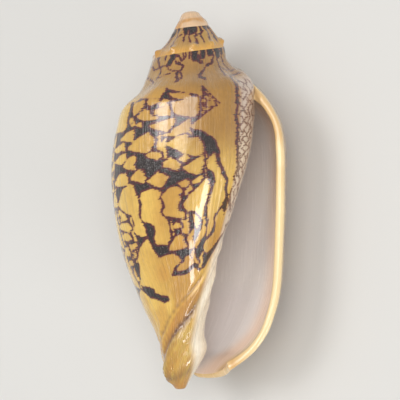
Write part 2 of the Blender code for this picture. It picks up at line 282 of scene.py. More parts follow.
def growth_distance(g):
    """Length grown from g back to the lip, in millimetres along the shoulder: the sum of a
    turn's length at the shoulder's radius over the turns."""
    at = np.linspace(0.0, SPIRE_TURNS, GROWTH_STEPS + 1)
    radius = cubic_weights(SECTION_G, at) @ SECTIONS[:, 2, 0]
    steps = 2.0 * math.pi * 0.5 * (radius[1:] + radius[:-1]) * np.diff(at)
    return np.interp(g, at, np.concatenate([[0.0], np.cumsum(steps)]))


def ramp_scale(g):
    """Width of the ramp as a share of the last whorl's, which shrinks up the spire."""
    return np.interp(g, [0.85, 1.25, 1.5, 2.0, 2.5, 3.0, 3.5],
                     [1.0, 0.78, 0.63, 0.43, 0.3, 0.22, 0.15])


def fasciole_place(g):
    """Place along the lip line of the groove above the fasciole, which winds down round the
    base: its height at each g, then the place that has this height."""
    height = np.interp(g, [0.31, 0.45, 0.614, 0.725, 0.85, 1.0, 1.05],
                       [3.0, 5.0, 8.2, 13.4, 17.8, 24.5, 27.5])
    return np.interp(height, [0.15, 3.8, 9.0, 15.5, 23.0, 33.0],
                     [79.6, 76.1, 71.6, 66.2, 59.0, 48.0])


def spine_relief(g, t, spine_height, spines):
    """Pointed spines on the penultimate whorl's shoulder that die out as low knobs towards the
    lip, and weak ribs below them: sharp bells round the whorl, times wide ones across it."""
    young = smooth((g - 0.75) / 0.6)
    turn = g * spines
    lean = (turn - np.round(turn)) / spines
    wide = 0.030 - 0.014 * young
    point = np.exp(-np.abs(lean / wide) ** 1.6)
    high = KNOB_HEIGHT + (spine_height - KNOB_HEIGHT) * young
    high = high * smooth((g - 0.05) / 0.35) * smooth((2.55 - g) / 0.5)
    across = bump(t, T_SPINES, np.where(t < T_SPINES, 2.2 - 1.0 * young, 2.6 - 1.1 * young))
    rib = np.exp(-(lean / 0.032) ** 2)
    rib_foot = 12.0 + 10.0 * (1 - young)
    ribs = 0.28 * high * rib * smooth(t / 3.0) * smooth((rib_foot - t) / 6.0)
    return high * point * across + ribs


def growth_relief(g, t, x):
    """Lines of growth that run with the lip, as noise that is fast along x and slow along the
    lip line, a shoulder drawn in over a fuller side 60 mm back, and the strongest lines."""
    fine = value_noise(11, x * 1.3, t * 0.05 + 3.0) - 0.5
    broad = value_noise(12, x * 0.28, t * 0.03) - 0.5
    lines = 0.05 * fine + 0.16 * broad * smooth(g / 0.1)
    flank = bump(x, 60.0, 9.0) * (0.4 * bump(t, 28.0, 7.0) - 1.4 * bump(t, 10.0, 2.8)
                                  - 0.4 * bump(t, 15.0, 4.0))
    ridges = sum(bump(g, line, 0.011) for line in RIDGES) * RIDGE_HEIGHT
    ridges = ridges * smooth((t - 13.0) / 6.0) * smooth((64.0 - t) / 10.0)
    return lines, flank, ridges


def base_relief(g, t, x):
    """The groove and ridge of the fasciole, wrinkles above it and fine waves below it, and the
    plaits that wind in on the columella."""
    groove = fasciole_place(g)
    wound = smooth((g - 0.36) / 0.1) * smooth((1.04 - g) / 0.1)
    fasciole = wound * (0.42 * bump(t, groove + 3.1, 2.2) - 0.3 * bump(t, groove, 0.8)
                        - 0.2 * bump(t, groove - 5.2, 0.7) + 0.18 * bump(t, groove - 3.0, 1.4))
    folds_here = bump(t - groove + 4.5, 0.0, 4.5) * smooth((g - 0.5) / 0.1)
    wrinkles = 0.3 * folds_here * (value_noise(13, x * 0.35 + t * 0.5, t * 0.12) - 0.5) * 2.0
    wave = np.sin((t - groove) * 3.1 + 2.0 * value_noise(14, x * 0.1, t * 0.1))
    waves = 0.17 * wound * bump(t, groove + 5.0, 4.0) * wave
    inward = smooth((g - 0.94) / 0.1) * smooth((1.55 - g) / 0.2)
    plaits = sum(size * bump(t + 9.0 * (g - 1.1), centre, 1.0) for centre, size in PLAITS)
    return fasciole, wrinkles, waves, inward * plaits


def relief(g, t, spine_height, spines):
    """Lift of the wall's outside, in millimetres: the sum of the spines, the lines of growth
    and the base's folds, faded out at the edges and where the wall meets itself."""
    g = np.asarray(g, float)[:, None]
    t = np.asarray(t, float)[None, :]
    x = growth_distance(g)
    lift = spine_relief(g, t, spine_height, spines)
    for part in (*growth_relief(g, t, x), *base_relief(g, t, x)):
        lift = lift + part
    behind = smooth((g - 0.93) / 0.07)
    top = smooth(t / 0.8)
    joint = np.min([np.abs(t - at) for at in (T_SUTURE, T_UNDER_LIP, T_TIP_JOINT)], axis=0)
    inside = np.where((t > T_SUTURE) & (t < T_UNDER_LIP), 0.0, smooth(joint / 1.5))
    tail = smooth((T_END - t) / 2.0)
    return lift * top * tail * (1.0 - behind * (1.0 - inside))


def outer_wall(g, t, spine_height, spines):
    """Outer face of the wall at every (g, t): the lip line, lifted along its normal."""
    line, normal = lip_line(g, t)
    line = line + normal * relief(g, t, spine_height, spines)[..., None]
    return place(np.asarray(g)[:, None], line[..., 0], line[..., 1])


def inner_wall(g, t_outer):
    """Inner face of the wall at every g: the lip line moved in by the wall's thickness, drawn
    at its top to the joint under the suture and at its foot to the joint at the tip."""
    part = np.linspace(0.0, 1.0, len(t_outer))[None, :]
    low = np.interp(g, [0.0, NOTCH_TURNS, 0.5, 0.75, 1.0], [T_END, T_END, 68.5, 62.0, 58.0])
    line, normal = lip_line(g, np.asarray(t_outer)[None, :] / T_END * low[:, None])
    thick = WALL + (LIP_WALL - WALL) * np.exp(-g / 0.035)
    line = line - normal * thick[:, None, None]
    top, _ = lip_line(g + 1.0, [T_UNDER_LIP])
    foot, _ = lip_line(g + 1.0, [T_TIP_JOINT])
    line = line + (top - line[:, :1]) * (1.0 - smooth(part / 0.2))[..., None]
    closed = g >= NOTCH_TURNS - 1e-9
    pull = smooth((part - 0.80) / 0.20)[..., None]
    line[closed] = line[closed] + (foot - line[:, -1:])[closed] * pull
    return place(g[:, None], line[..., 0], line[..., 1])


def edge_way(lean):
    """Direction in which the wall's rounded edge points: forward out of the lip where lean is
    0, down past the base where it is 1."""
    forward = np.array([math.sin(LIP_ANGLE), -math.cos(LIP_ANGLE), 0.0])
    down = np.array([0.0, 0.0, -1.0])
    way = forward * (1.0 - lean[:, None]) + down * lean[:, None]
    return way / np.linalg.norm(way, axis=1)[:, None]


def rim(outside, inside, way, high):
    """Rounded edge from the outer to the inner face: half an ellipse whose long axis joins the
    two and whose short one points along `way`, scaled by `high`."""
    turn = np.linspace(0.0, math.pi, RIM_STEPS + 1)[None, :, None]
    middle = 0.5 * (outside + inside)[:, None]
    half = 0.5 * (outside - inside)
    reach = np.linalg.norm(half, axis=1)[:, None, None] * high[:, None, None]
    return middle + half[:, None] * np.cos(turn) + way[:, None] * reach * np.sin(turn)


# ------------------------------------------------------------------ the markings

# The markings are grown the way the animal lays them down, column after column from the apex to
# the lip. Lengths are millimetres: x runs back from the lip along the shoulder, y runs along the
# lip line from the suture. A clearing opens along a ragged line, then shrinks from both sides as
# the shell grows, its upper side mostly faster, so it ends as a triangle that points to the lip.
CELL = 0.1
MARK_X = 200.0
MARK_Y = 80.0
CLOSE_ABOVE = 0.78                  # how fast a clearing's upper side closes, mm per mm grown
CLOSE_BELOW = 0.26                  # and its lower side
NEVER_CLEAR = 60.0                  # longer than any dark gap, so that no clearing opens
PLACED_X = (62.4, 91.0)             # stretch of x whose main shapes are listed one by one
NET_X = 90.9                        # x from which the net beside the aperture is drawn
EDGE_REACH = 0.8                    # distance up to which the markings' edge is felt
NO_MARKS = (EDGE_REACH, 0.0, 0.0)   # edge, opening and strength where there are no markings


def raster_places():
    """Places x and y of the raster's columns and rows; columns run in the order of growth."""
    x = MARK_X - CELL * (np.arange(int(MARK_X / CELL)) + 0.5)
    y = CELL * (np.arange(int(MARK_Y / CELL)) + 0.5)
    return x[:, None], y[None, :]


def shrink_clearings(active, soon, taken):
    """Narrows each open clearing by one column's growth and returns those that stay open: still
    wide enough, and not run into an older one. Marks in `taken` where they lie."""
    staying = []
    for part in active:
        part["top"] += CLOSE_ABOVE * part["haste_top"]
        part["foot"] -= CLOSE_BELOW * part["haste_foot"]
        top = int(round(part["top"]))
        foot = int(round(part["foot"]))
        if foot - top >= 2 and soon[top:foot + 1].mean() < 0.35:
            staying.append(part)
            taken[max(top, 0):foot + 1] = True
    return staying


def open_clearings(taken, gap, margin, rng):
    """New clearings in the gaps of one column that reach the length `gap` there: across the
    whole gap, or now and then at a random place in a much longer one."""
    rows = len(taken)
    opened = []
    edges = np.flatnonzero(np.diff(np.concatenate([[1], taken.astype(int), [1]])))
    for start, end in zip(edges[::2], edges[1::2]):
        least = gap[min((start + end) // 2, rows - 1)] / CELL
        if end - start < least:
            continue
        size = least * rng.uniform(1.0, 1.7)
        if end - start > 1.6 * size:
            if rng.random() > 0.35:
                continue
            start = int(start + rng.uniform(0.0, end - start - size))
            end = int(start + size)
        top = start + (margin if start > 0 else 0)
        foot = end - (margin if end < rows else 0)
        if foot - top > 4:
            opened.append({"top": float(top), "foot": float(foot - 1),
                           "haste_top": rng.uniform(0.6, 1.7),
                           "haste_foot": rng.uniform(0.3, 2.2)})
    return opened


def grow_clearings(clear, gap, line, rng):
    """Opens clearings wherever the dark gap between two others reaches the length `gap` there,
    leaving a dark line of width `line` beside them, and lets them shrink as the columns go on."""
    count, rows = clear.shape
    margin = max(int(round(line / CELL)), 1)
    ahead = int(round(line / CELL)) + 1
    padded = np.pad(clear, ((0, ahead), (0, 0)))
    soon = np.zeros_like(clear)
    for k in range(ahead + 1):
        soon |= padded[k:k + count]
    near = soon.copy()
    for k in range(1, margin + 1):
        near[:, k:] |= soon[:, :-k]
        near[:, :-k] |= soon[:, k:]
    active = []
    for i in range(count):
        taken = soon[i].copy()
        active = shrink_clearings(active, soon[i], taken)
        active += open_clearings(taken, gap[i], margin, rng)
        for part in active:
            top = max(int(round(part["top"])), 0)
            foot = min(int(round(part["foot"])), rows - 1)
            clear[i, top:foot + 1] |= ~near[i, top:foot + 1]
    return clear


def fill_outlines(outlines):
    """Cells of the raster inside any of the outlines, each taken by the even-odd rule."""
    x, y = raster_places()
    filled = np.zeros((x.size, y.size), bool)
    for points in outlines:
        inside = np.zeros_like(filled)
        for (x1, y1), (x2, y2) in zip(points, points[1:] + points[:1]):
            if y1 != y2:
                crossing = x1 + (y - y1) / (y2 - y1) * (x2 - x1)
                inside ^= ((y1 > y) != (y2 > y)) & (x < crossing)
        filled |= inside
    return filled


def distance_to_edge(clear, reach):
    """Distance of each cell from the edge of the markings, up to `reach`: positive in the
    clearings, negative in the ink, as the least distance to a cell of the other kind."""
    steps = int(reach / CELL)
    count, rows = clear.shape
    padded = np.pad(clear, steps, mode='edge')
    to_ink = np.full(clear.shape, reach, np.float32)
    to_clear = to_ink.copy()
    for i in range(-steps, steps + 1):
        for j in range(-steps, steps + 1):
            away = math.hypot(i, j) * CELL
            if 0.0 < away <= reach:
                moved = padded[steps + i:steps + i + count, steps + j:steps + j + rows]
                np.minimum(to_ink, np.where(moved, reach, away - 0.5 * CELL), out=to_ink)
                np.minimum(to_clear, np.where(moved, away - 0.5 * CELL, reach), out=to_clear)
    return np.where(clear, to_ink, -to_clear)


def since_opening(clear, reach):
    """Length grown since each cell's clearing opened, counted along the direction of growth."""
    age = np.zeros(clear.shape, np.float32)
    for i in range(1, len(clear)):
        age[i] = np.where(clear[i], np.minimum(age[i - 1] + CELL, reach), 0.0)
    return age


def draw_stroke(clear, points, width, seed, wander=0.45):
    """Inks a line through the points: it is walked in short steps, each pushed sideways by a
    smooth noise of `wander`, and a round dab of the line's uneven width is set down at each."""
    points = np.array(points, float)
    spans = np.linalg.norm(np.diff(points, axis=0), axis=1)
    along = np.concatenate([[0.0], np.cumsum(spans)])
    at = np.arange(0.0, along[-1], 0.15)
    path = np.stack([np.interp(at, along, points[:, k]) for k in (0, 1)], axis=1)
    heading = np.gradient(path, axis=0)
    heading /= np.maximum(np.linalg.norm(heading, axis=1, keepdims=True), 1e-9)
    sideways = np.stack([-heading[:, 1], heading[:, 0]], axis=1)
    push = ((value_noise(seed, at / 1.1, 0.5) - 0.5) * 1.4
            + (value_noise(seed + 1, at / 0.45, 0.5) - 0.5) * 0.8)
    path = path + sideways * (wander * push)[:, None]
    size = 0.5 * width * (0.72 + 0.7 * value_noise(seed + 2, at / 0.7, 0.5))
    reach = int(width / CELL) + 2
    offsets = CELL * (np.arange(-reach, reach + 1))
    away = np.hypot(offsets[:, None], offsets[None, :])
    for (x, y), r in zip(path, size):
        i = int((MARK_X - x) / CELL)
        j = int(y / CELL)
        if reach <= i < clear.shape[0] - reach and 0 <= j < clear.shape[1]:
            low = max(j - reach, 0)
            high = min(j + reach + 1, clear.shape[1])
            outside = away[:, low - j + reach:high - j + reach] > r
            clear[i - reach:i + reach + 1, low:high] &= outside


# The main shapes on the side that lies up, placed point by point as (x, y): outlines
# that stay clear, outlines that stay dark, outlines where the dark is pierced like lace, and
# single lines with their widths.
CLEAR_OUTLINES = [
    # the giant clearing beside the aperture, and the one at the other end of the shoulder
    [(90.1, 9.0), (90.2, 20.0), (90.9, 30.0), (91.8, 36.5), (92.2, 41.8), (91.4, 42.2), (90.6, 40.8),
     (89.9, 39.6), (89.8, 38.2), (88.7, 36.4), (87.4, 33.6), (86.7, 31.4), (86.3, 28.0), (85.4, 26.2),
     (83.6, 24.2), (81.6, 22.9), (80.9, 22.3), (83.2, 20.0), (86.9, 17.2), (84.6, 13.8), (83.1, 10.6),
     (84.0, 9.0)],
    [(56.5, 12.0), (61.0, 12.6), (65.8, 13.0), (66.5, 15.6), (66.1, 17.4), (66.2, 18.8), (65.0, 19.9),
     (62.4, 19.5), (56.5, 18.8)],
    # cells round the dark band below the shoulder
    [(67.3, 13.4), (70.6, 13.2), (71.0, 14.8), (70.2, 15.6), (68.3, 16.7), (67.9, 15.6)],
    [(71.8, 13.3), (74.0, 13.9), (74.4, 14.6), (72.6, 15.1), (71.6, 14.4)],
    [(69.2, 17.2), (71.2, 15.8), (72.4, 16.2), (72.2, 17.2), (73.0, 17.9), (74.6, 18.2), (74.0, 18.9),
     (71.0, 18.3)],
    [(73.0, 16.9), (74.8, 16.2), (76.4, 15.5), (76.7, 18.5), (73.4, 17.4)],
    [(75.1, 13.9), (76.1, 14.3), (76.8, 15.0), (75.4, 15.5), (74.4, 15.7)],
    [(66.9, 17.2), (68.0, 17.0), (68.2, 18.1), (67.2, 18.3)],
    [(67.6, 18.9), (68.8, 18.3), (68.8, 19.2), (67.8, 19.4)],
    [(69.0, 19.2), (70.2, 18.6), (70.9, 19.3), (70.8, 19.9)],
    [(76.2, 12.4), (78.0, 12.9), (80.6, 13.3), (80.6, 14.3), (79.2, 14.6), (77.6, 13.9)],
    [(77.2, 15.4), (80.2, 14.6), (82.4, 14.8), (82.2, 19.0), (81.8, 19.8), (78.0, 18.4), (77.2, 17.4)],
    [(72.6, 20.3), (74.4, 19.8), (77.4, 19.2), (77.8, 20.0), (76.4, 22.5), (74.6, 21.6)],
    [(67.2, 24.5), (69.3, 22.9), (72.4, 21.9), (74.0, 24.0), (73.4, 25.6), (72.2, 26.7), (68.6, 25.1)],
    [(64.4, 21.7), (66.4, 20.6), (68.8, 20.3), (69.0, 22.0), (68.8, 23.0), (66.8, 22.4)],
    [(61.8, 23.7), (64.0, 22.9), (66.2, 22.8), (66.4, 24.6), (63.0, 24.4)],
    [(62.4, 26.6), (64.6, 25.6), (66.8, 25.2), (66.9, 26.8), (65.2, 27.6), (63.4, 27.0)],
    [(65.8, 28.2), (67.4, 26.9), (69.3, 26.4), (69.2, 29.9), (67.6, 29.5)],
    [(71.8, 27.4), (73.2, 26.7), (74.9, 27.4), (75.0, 28.2), (74.0, 28.8)],
    [(76.2, 25.5), (78.2, 24.4), (79.8, 24.0), (80.4, 25.2), (82.2, 25.4), (83.2, 28.0), (83.4, 29.6),
     (82.6, 30.1), (81.0, 29.6), (77.8, 27.0)],
    [(78.6, 30.0), (79.8, 29.0), (80.4, 30.2), (79.6, 31.0)],
    [(75.6, 29.9), (76.8, 29.2), (78.2, 30.4), (78.8, 31.6), (78.6, 32.6), (75.4, 30.8)],
    [(79.4, 32.4), (81.4, 31.0), (83.2, 30.4), (83.2, 34.6), (82.0, 34.8), (80.4, 33.6)],
    [(72.0, 33.2), (74.4, 31.7), (76.4, 33.4), (75.0, 35.6), (73.6, 34.8)],
    [(62.2, 31.4), (64.6, 29.8), (66.6, 30.2), (67.2, 31.4), (67.0, 32.6), (63.4, 32.2)],
    [(67.9, 31.6), (70.0, 30.0), (71.2, 30.8), (71.6, 32.6), (71.2, 33.2)],
    # cells down the belly, and the large clearing at the foot of the markings
    [(84.0, 31.8), (85.4, 30.8), (86.0, 33.0), (86.7, 34.6), (87.6, 36.8), (88.9, 38.5), (88.7, 40.0),
     (89.7, 41.2), (88.9, 42.6), (88.1, 43.4), (86.6, 44.8), (87.2, 46.3), (86.6, 48.0), (85.2, 49.2),
     (85.3, 46.0), (85.2, 43.6), (85.4, 40.4), (85.9, 38.8), (86.2, 38.3), (86.0, 37.0), (85.6, 35.7),
     (84.4, 34.2)],
    [(63.2, 35.4), (65.4, 33.2), (67.6, 32.6), (68.6, 33.4), (68.9, 35.4), (69.4, 37.8), (69.0, 40.2),
     (69.4, 41.3), (69.7, 42.3), (69.6, 44.8), (68.4, 44.6), (67.0, 43.8), (66.8, 42.7), (67.4, 41.7),
     (67.0, 40.2), (67.0, 39.3), (64.9, 38.0), (62.6, 36.2)],
    [(70.5, 35.2), (72.6, 35.2), (73.8, 36.1), (74.5, 36.7), (74.0, 37.8), (74.8, 39.0), (74.0, 40.9),
     (74.9, 42.3), (75.4, 43.8), (75.3, 45.7), (75.4, 46.9), (74.5, 47.8), (71.4, 46.8), (72.1, 44.8),
     (72.2, 43.4), (71.3, 42.2), (70.1, 41.8), (69.7, 41.0), (69.9, 39.4), (70.2, 37.8), (69.7, 36.5)],
    [(75.2, 37.1), (76.1, 36.4), (77.6, 36.1), (78.8, 36.9), (79.0, 37.8), (78.0, 38.2), (78.5, 39.0),
     (77.9, 40.0), (77.9, 41.1), (79.2, 42.2), (79.2, 43.4), (76.8, 42.6), (75.3, 41.8), (74.8, 41.0),
     (75.5, 39.8), (75.4, 38.8), (74.7, 37.8)],
    [(78.3, 35.7), (79.8, 35.4), (80.8, 36.2), (80.0, 36.9), (79.3, 36.6)],
    [(81.3, 36.1), (82.5, 35.5), (83.4, 36.2), (82.6, 36.8), (81.6, 36.6)],
    [(79.7, 37.9), (80.9, 36.9), (81.6, 37.3), (80.3, 38.2), (79.5, 38.6)],
    [(79.2, 40.6), (80.3, 39.0), (82.6, 37.8), (84.0, 36.7), (84.7, 37.8), (84.9, 38.8), (84.5, 39.6),
     (84.4, 41.3), (83.6, 43.2), (84.2, 45.7), (84.9, 47.3), (84.3, 48.6), (83.0, 50.3), (82.4, 51.0),
     (81.7, 49.8), (82.6, 48.4), (83.6, 46.7), (83.6, 45.3), (82.9, 43.8), (81.6, 42.7), (80.2, 42.0)],
    [(81.3, 43.4), (82.4, 44.2), (82.7, 45.5), (82.2, 46.4), (81.5, 45.4)],
    [(88.2, 44.2), (89.2, 43.6), (90.5, 44.0), (90.9, 45.2), (91.3, 46.7), (91.9, 47.5), (91.3, 49.0),
     (89.2, 51.0), (88.0, 51.9), (86.4, 53.2), (85.3, 52.8), (84.7, 51.7), (85.4, 50.2), (86.8, 49.2),
     (88.3, 47.8), (88.0, 46.4), (87.5, 45.5)],
    [(66.8, 46.9), (69.8, 45.5), (70.2, 46.9), (70.8, 49.2), (71.3, 50.4), (73.8, 50.4), (75.9, 50.6),
     (76.8, 51.7), (77.6, 52.5), (76.1, 53.4), (74.3, 54.4), (73.6, 55.4), (75.1, 56.0), (77.8, 56.5),
     (79.7, 56.2), (81.4, 56.0), (84.0, 57.2), (86.0, 61.5), (71.4, 61.5), (71.2, 59.6), (68.5, 58.7),
     (66.6, 57.8), (66.6, 56.7), (65.1, 55.7), (62.2, 54.8), (62.6, 54.0), (64.7, 51.1), (65.3, 49.0)],
    [(75.3, 48.4), (76.8, 46.9), (78.0, 46.7), (78.7, 47.4), (78.9, 48.4), (79.5, 49.5), (78.4, 49.7),
     (76.8, 49.8), (75.3, 49.5), (74.9, 49.1)],
    [(76.5, 44.5), (77.4, 44.0), (78.4, 44.6), (78.2, 45.0), (76.8, 45.1)],
    [(79.2, 52.1), (80.1, 51.9), (80.8, 53.2), (81.4, 54.6), (80.5, 54.8), (78.8, 55.0), (76.8, 55.0),
     (75.7, 54.7), (76.8, 53.8), (78.4, 53.2), (78.6, 52.6)],
    [(81.4, 50.9), (81.9, 52.2), (82.1, 53.8), (83.2, 54.9), (82.0, 54.9), (81.2, 53.0), (80.6, 51.8)],
    [(62.6, 37.1), (64.9, 38.6), (65.1, 40.0), (62.4, 39.6), (63.0, 38.7), (62.2, 38.0)],
    [(61.1, 40.6), (63.0, 40.3), (64.9, 40.7), (65.5, 41.4), (66.1, 42.3), (65.0, 42.8), (63.2, 42.1),
     (61.8, 41.3)],
    [(62.2, 42.9), (63.2, 42.6), (64.8, 43.4), (65.1, 44.4), (63.4, 44.5), (62.2, 43.8)],
    [(61.3, 45.7), (63.0, 45.5), (63.3, 46.9), (62.9, 47.8), (60.7, 47.1)],
    [(64.3, 45.6), (66.0, 45.6), (66.3, 46.1), (65.3, 46.6), (64.3, 46.4)],
    [(61.1, 48.5), (62.5, 48.7), (63.0, 49.5), (60.7, 49.8)],
    [(64.4, 47.5), (65.2, 47.3), (65.0, 48.6), (64.2, 48.4)],
]
DARK_OUTLINES = [
    # the bar between the giant clearing and the cell beside it
    [(80.3, 23.3), (81.1, 23.0), (81.9, 23.9), (82.8, 24.5), (83.7, 25.4), (85.1, 26.8), (85.7, 27.8),
     (86.0, 28.9), (86.1, 30.2), (84.1, 30.5), (83.7, 29.3), (83.3, 28.5), (82.8, 27.8), (82.5, 26.6),
     (82.4, 25.4), (81.2, 25.4), (80.4, 25.7), (80.2, 24.6)],
    # the bent bar above the large clearing at the foot
    [(70.1, 42.0), (71.3, 42.3), (71.6, 43.0), (72.0, 43.5), (71.7, 44.4), (71.7, 46.0), (71.5, 46.6),
     (72.9, 47.5), (74.6, 47.9), (74.2, 48.9), (74.3, 49.3), (72.1, 49.5), (71.5, 50.1), (70.8, 48.2),
     (70.5, 47.0), (70.3, 45.3), (70.0, 43.7)],
]
LACE_OUTLINES = [
    [(82.8, 14.8), (84.0, 13.2), (86.4, 17.0), (84.4, 18.8), (82.9, 19.4)],
    [(79.0, 37.0), (82.0, 35.0), (84.0, 35.4), (82.6, 37.6), (79.4, 39.0)],
    [(63.0, 45.0), (67.0, 45.0), (65.0, 49.6), (62.8, 49.6)],
    [(76.6, 13.0), (82.0, 13.4), (82.6, 15.0), (77.4, 15.2)],
]
STROKES = [
    ([(91.6, 9.6), (90.6, 11.6), (90.4, 16.0), (90.5, 21.5), (91.0, 27.0), (91.3, 31.0),
      (92.2, 37.5)], 0.62),
    ([(75.2, 10.8), (75.6, 12.6), (76.4, 13.9)], 0.4),
    ([(85.2, 56.6), (88.0, 53.6), (91.0, 50.2), (94.0, 46.6), (97.0, 44.2)], 0.7),
    ([(89.8, 40.4), (91.4, 42.0), (94.0, 43.6)], 0.6),
    # the ramp above the shoulder
    ([(73.6, -0.2), (73.8, 1.4), (73.0, 3.0)], 1.9),
    ([(72.0, 3.2), (73.4, 5.0), (75.4, 5.9), (77.4, 5.8)], 0.42),
    ([(75.0, 2.2), (76.6, 3.2), (78.2, 4.4), (77.6, 5.6), (76.1, 6.3), (76.4, 7.6), (77.2, 9.0)], 0.62),
    ([(77.6, 6.4), (78.1, 8.2), (77.0, 9.3)], 0.5),
    ([(74.6, 0.4), (76.4, 1.6), (77.4, 2.6), (78.8, 1.4), (78.4, -0.2)], 0.55),
    ([(69.6, 6.9), (72.4, 6.4), (75.2, 5.7)], 0.36),
    ([(65.6, -0.2), (66.8, 1.0), (68.6, 2.6)], 0.55),
    ([(59.0, 1.6), (61.6, 0.8), (63.4, 2.2), (65.6, 3.0), (69.0, 3.4), (72.4, 3.4)], 0.40),
    ([(59.4, 4.4), (63.0, 5.0), (65.8, 6.0), (69.6, 8.0)], 0.40),
    ([(68.0, 9.0), (69.8, 7.6), (70.6, 5.2), (69.4, 3.4)], 0.36),
    ([(61.4, 1.0), (62.6, 3.4), (61.8, 4.8)], 0.36),
    ([(82.6, -0.2), (82.2, 1.4), (83.4, 2.2), (82.8, 3.4), (84.2, 4.2)], 0.7),
    ([(84.2, 0.2), (84.8, 2.0), (83.8, 3.0), (84.6, 4.4), (87.0, 4.9), (88.6, 4.2),
      (89.2, 2.4), (88.2, -0.2)], 0.42),
    ([(88.4, 4.2), (86.2, 5.3), (84.6, 6.2), (83.6, 7.4), (82.8, 8.6), (84.2, 9.6)], 0.62),
    ([(91.6, -0.2), (91.0, 2.2), (90.6, 4.8), (90.2, 7.2), (89.8, 9.4)], 0.45),
    ([(90.6, 6.4), (93.0, 7.6), (96.8, 8.0)], 0.36),
    ([(91.0, 9.6), (93.6, 8.8), (97.2, 9.0)], 0.36),
]
# The upper and the lower edge of the body's markings, as (x, y)
UPPER_LIMIT = np.array([
    (0, 13.6), (52, 13.0), (54, 12.0), (61, 12.6), (64.4, 12.4), (67.5, 12.9), (69, 12.2),
    (72, 13.3), (74.6, 13.8), (75.0, 12.0), (75.4, 10.8), (78, 12.1), (81, 13.4), (82.9, 14.6),
    (83.1, 11.2), (84.2, 13.0), (85.6, 15.4), (86.7, 17.0), (90.0, 17.0), (90.6, 9.5), (98, 9.0)])
LOWER_LIMIT = np.array([
    (0, 62.0), (12, 65.0), (20, 67.0), (28, 67.5), (34, 66.0), (45, 63.5), (52, 61.0),
    (58, 56.4), (61.4, 55.6), (63.8, 58.2), (66.8, 59.6), (69.4, 60.9), (71.2, 60.9),
    (72.0, 59.0), (86, 56.8), (97, 45.0)])


def always_clear(x, y):
    """What is clear from the start: below the body's markings, in a wavy band under the suture,
    on the ramp, and where the net and the spire's bars are drawn later. Also the markings' lower
    limit, each cell's distance from the band's middle, and the band's half width."""
    limit = np.interp(x, *LOWER_LIMIT.T)
    limit += 2.0 * (value_noise(21, x / 4.0, 0.5) - 0.5) * smooth((61.0 - x) / 4.0)
    band = np.abs(y - 12.0 - 1.2 * np.sin(x / 6.0))
    band_width = 1.0 + 1.2 * value_noise(22, x / 5.0, 0.5)
    upper = np.interp(x, *UPPER_LIMIT.T) + 0.3 * (value_noise(24, x / 1.5, 0.5) - 0.5)
    left = 59.0 + 6.0 * smooth((y - 8.0) / 5.0) - 3.0 * value_noise(34, y / 2.5, 0.5)
    ramp = (y < upper) & (x > left)
    clear = (y > limit) | (band < band_width) & (x < 52.0) | ramp | (x > NET_X)
    return clear, limit, band, band_width


def grow_markings(seed):
    """Raster of the clearings: large ones first, among and round the listed shapes, then
    smaller ones in the gaps left, then fine net and specks; last the lines are inked over them."""
    rng = np.random.default_rng(seed)
    x, y = raster_places()
    solid_dark = fill_outlines(DARK_OUTLINES)
    lace = fill_outlines(LACE_OUTLINES)
    clear = distance_to_edge(fill_outlines(CLEAR_OUTLINES), 0.3) > -0.1
    open_from_start, limit, band, band_width = always_clear(x, y)
    clear |= open_from_start
    placed = (x > PLACED_X[0]) & (x < PLACED_X[1])

    # Three passes of clearings, each smaller than the last; two slanting bands stay denser
    field = value_noise(25, x / 8.0 + 0.12 * y, y / 6.5)
    bands = (bump(y - 31.0 - 0.12 * (x - 30.0), 0.0, 5.0)
             + bump(y - 54.0 + 0.1 * (x - 30.0), 0.0, 4.5))
    gap = 1.9 + 7.5 * field ** 1.8 + 1.0 * bands * value_noise(26, x / 5.0, y / 4.0)
    gap = np.where((y < 11.0) & (x < 60.0), 1.7 + 2.8 * field, gap)
    clear = grow_clearings(clear, np.where(placed, NEVER_CLEAR, gap), 0.34, rng)
    gap = 1.5 + 2.4 * value_noise(27, x / 4.5, y / 4.0) * (0.4 + 1.1 * bands)
    clear = grow_clearings(clear, np.where(placed, NEVER_CLEAR, gap), 0.30, rng)
    gap = 1.2 + 2.0 * value_noise(28, x / 2.5, y / 2.5) + 0.8 * bands
    pierced = 0.9 + 0.6 * value_noise(29, x / 0.8, y / 0.8)
    specked = 3.4 + 2.6 * value_noise(35, x / 1.5, y / 1.5)
    gap = np.where(placed, np.where(lace, pierced, specked), gap)
    clear = grow_clearings(clear, np.where(solid_dark, NEVER_CLEAR, gap), 0.30, rng)

    # The band and the lower edge are frayed, then the lines are inked
    fray = 1.5 * (value_noise(23, x / 1.1, y / 0.9) - 0.35)
    clear |= (band < band_width + fray) & (x < 54.0)
    fray = 2.6 * (value_noise(30, x / 1.4, y / 1.2) - 0.62)
    clear |= y > limit + fray * smooth((62.0 - x) / 4.0)
    for index, (points, width) in enumerate(STROKES):
        draw_stroke(clear, points, width, 40 + 3 * index)
    draw_net(clear, rng)
    draw_spire(clear, rng)
    return clear


def draw_net(clear, rng):
    """Fine zigzag lines that run down beside the columella, each touching the next."""
    for index, centre in enumerate((91.9, 93.3, 94.7, 96.1)):
        y = 9.0 + np.cumsum(rng.uniform(1.1, 2.1, 26))
        y = y[y < 45.0]
        zigzag = 0.75 * (-1.0) ** (np.arange(len(y)) + index)
        x = centre + zigzag + rng.uniform(-0.25, 0.25, len(y))
        draw_stroke(clear, list(zip(x, y)), 0.30, 900 + 3 * index, 0.25)


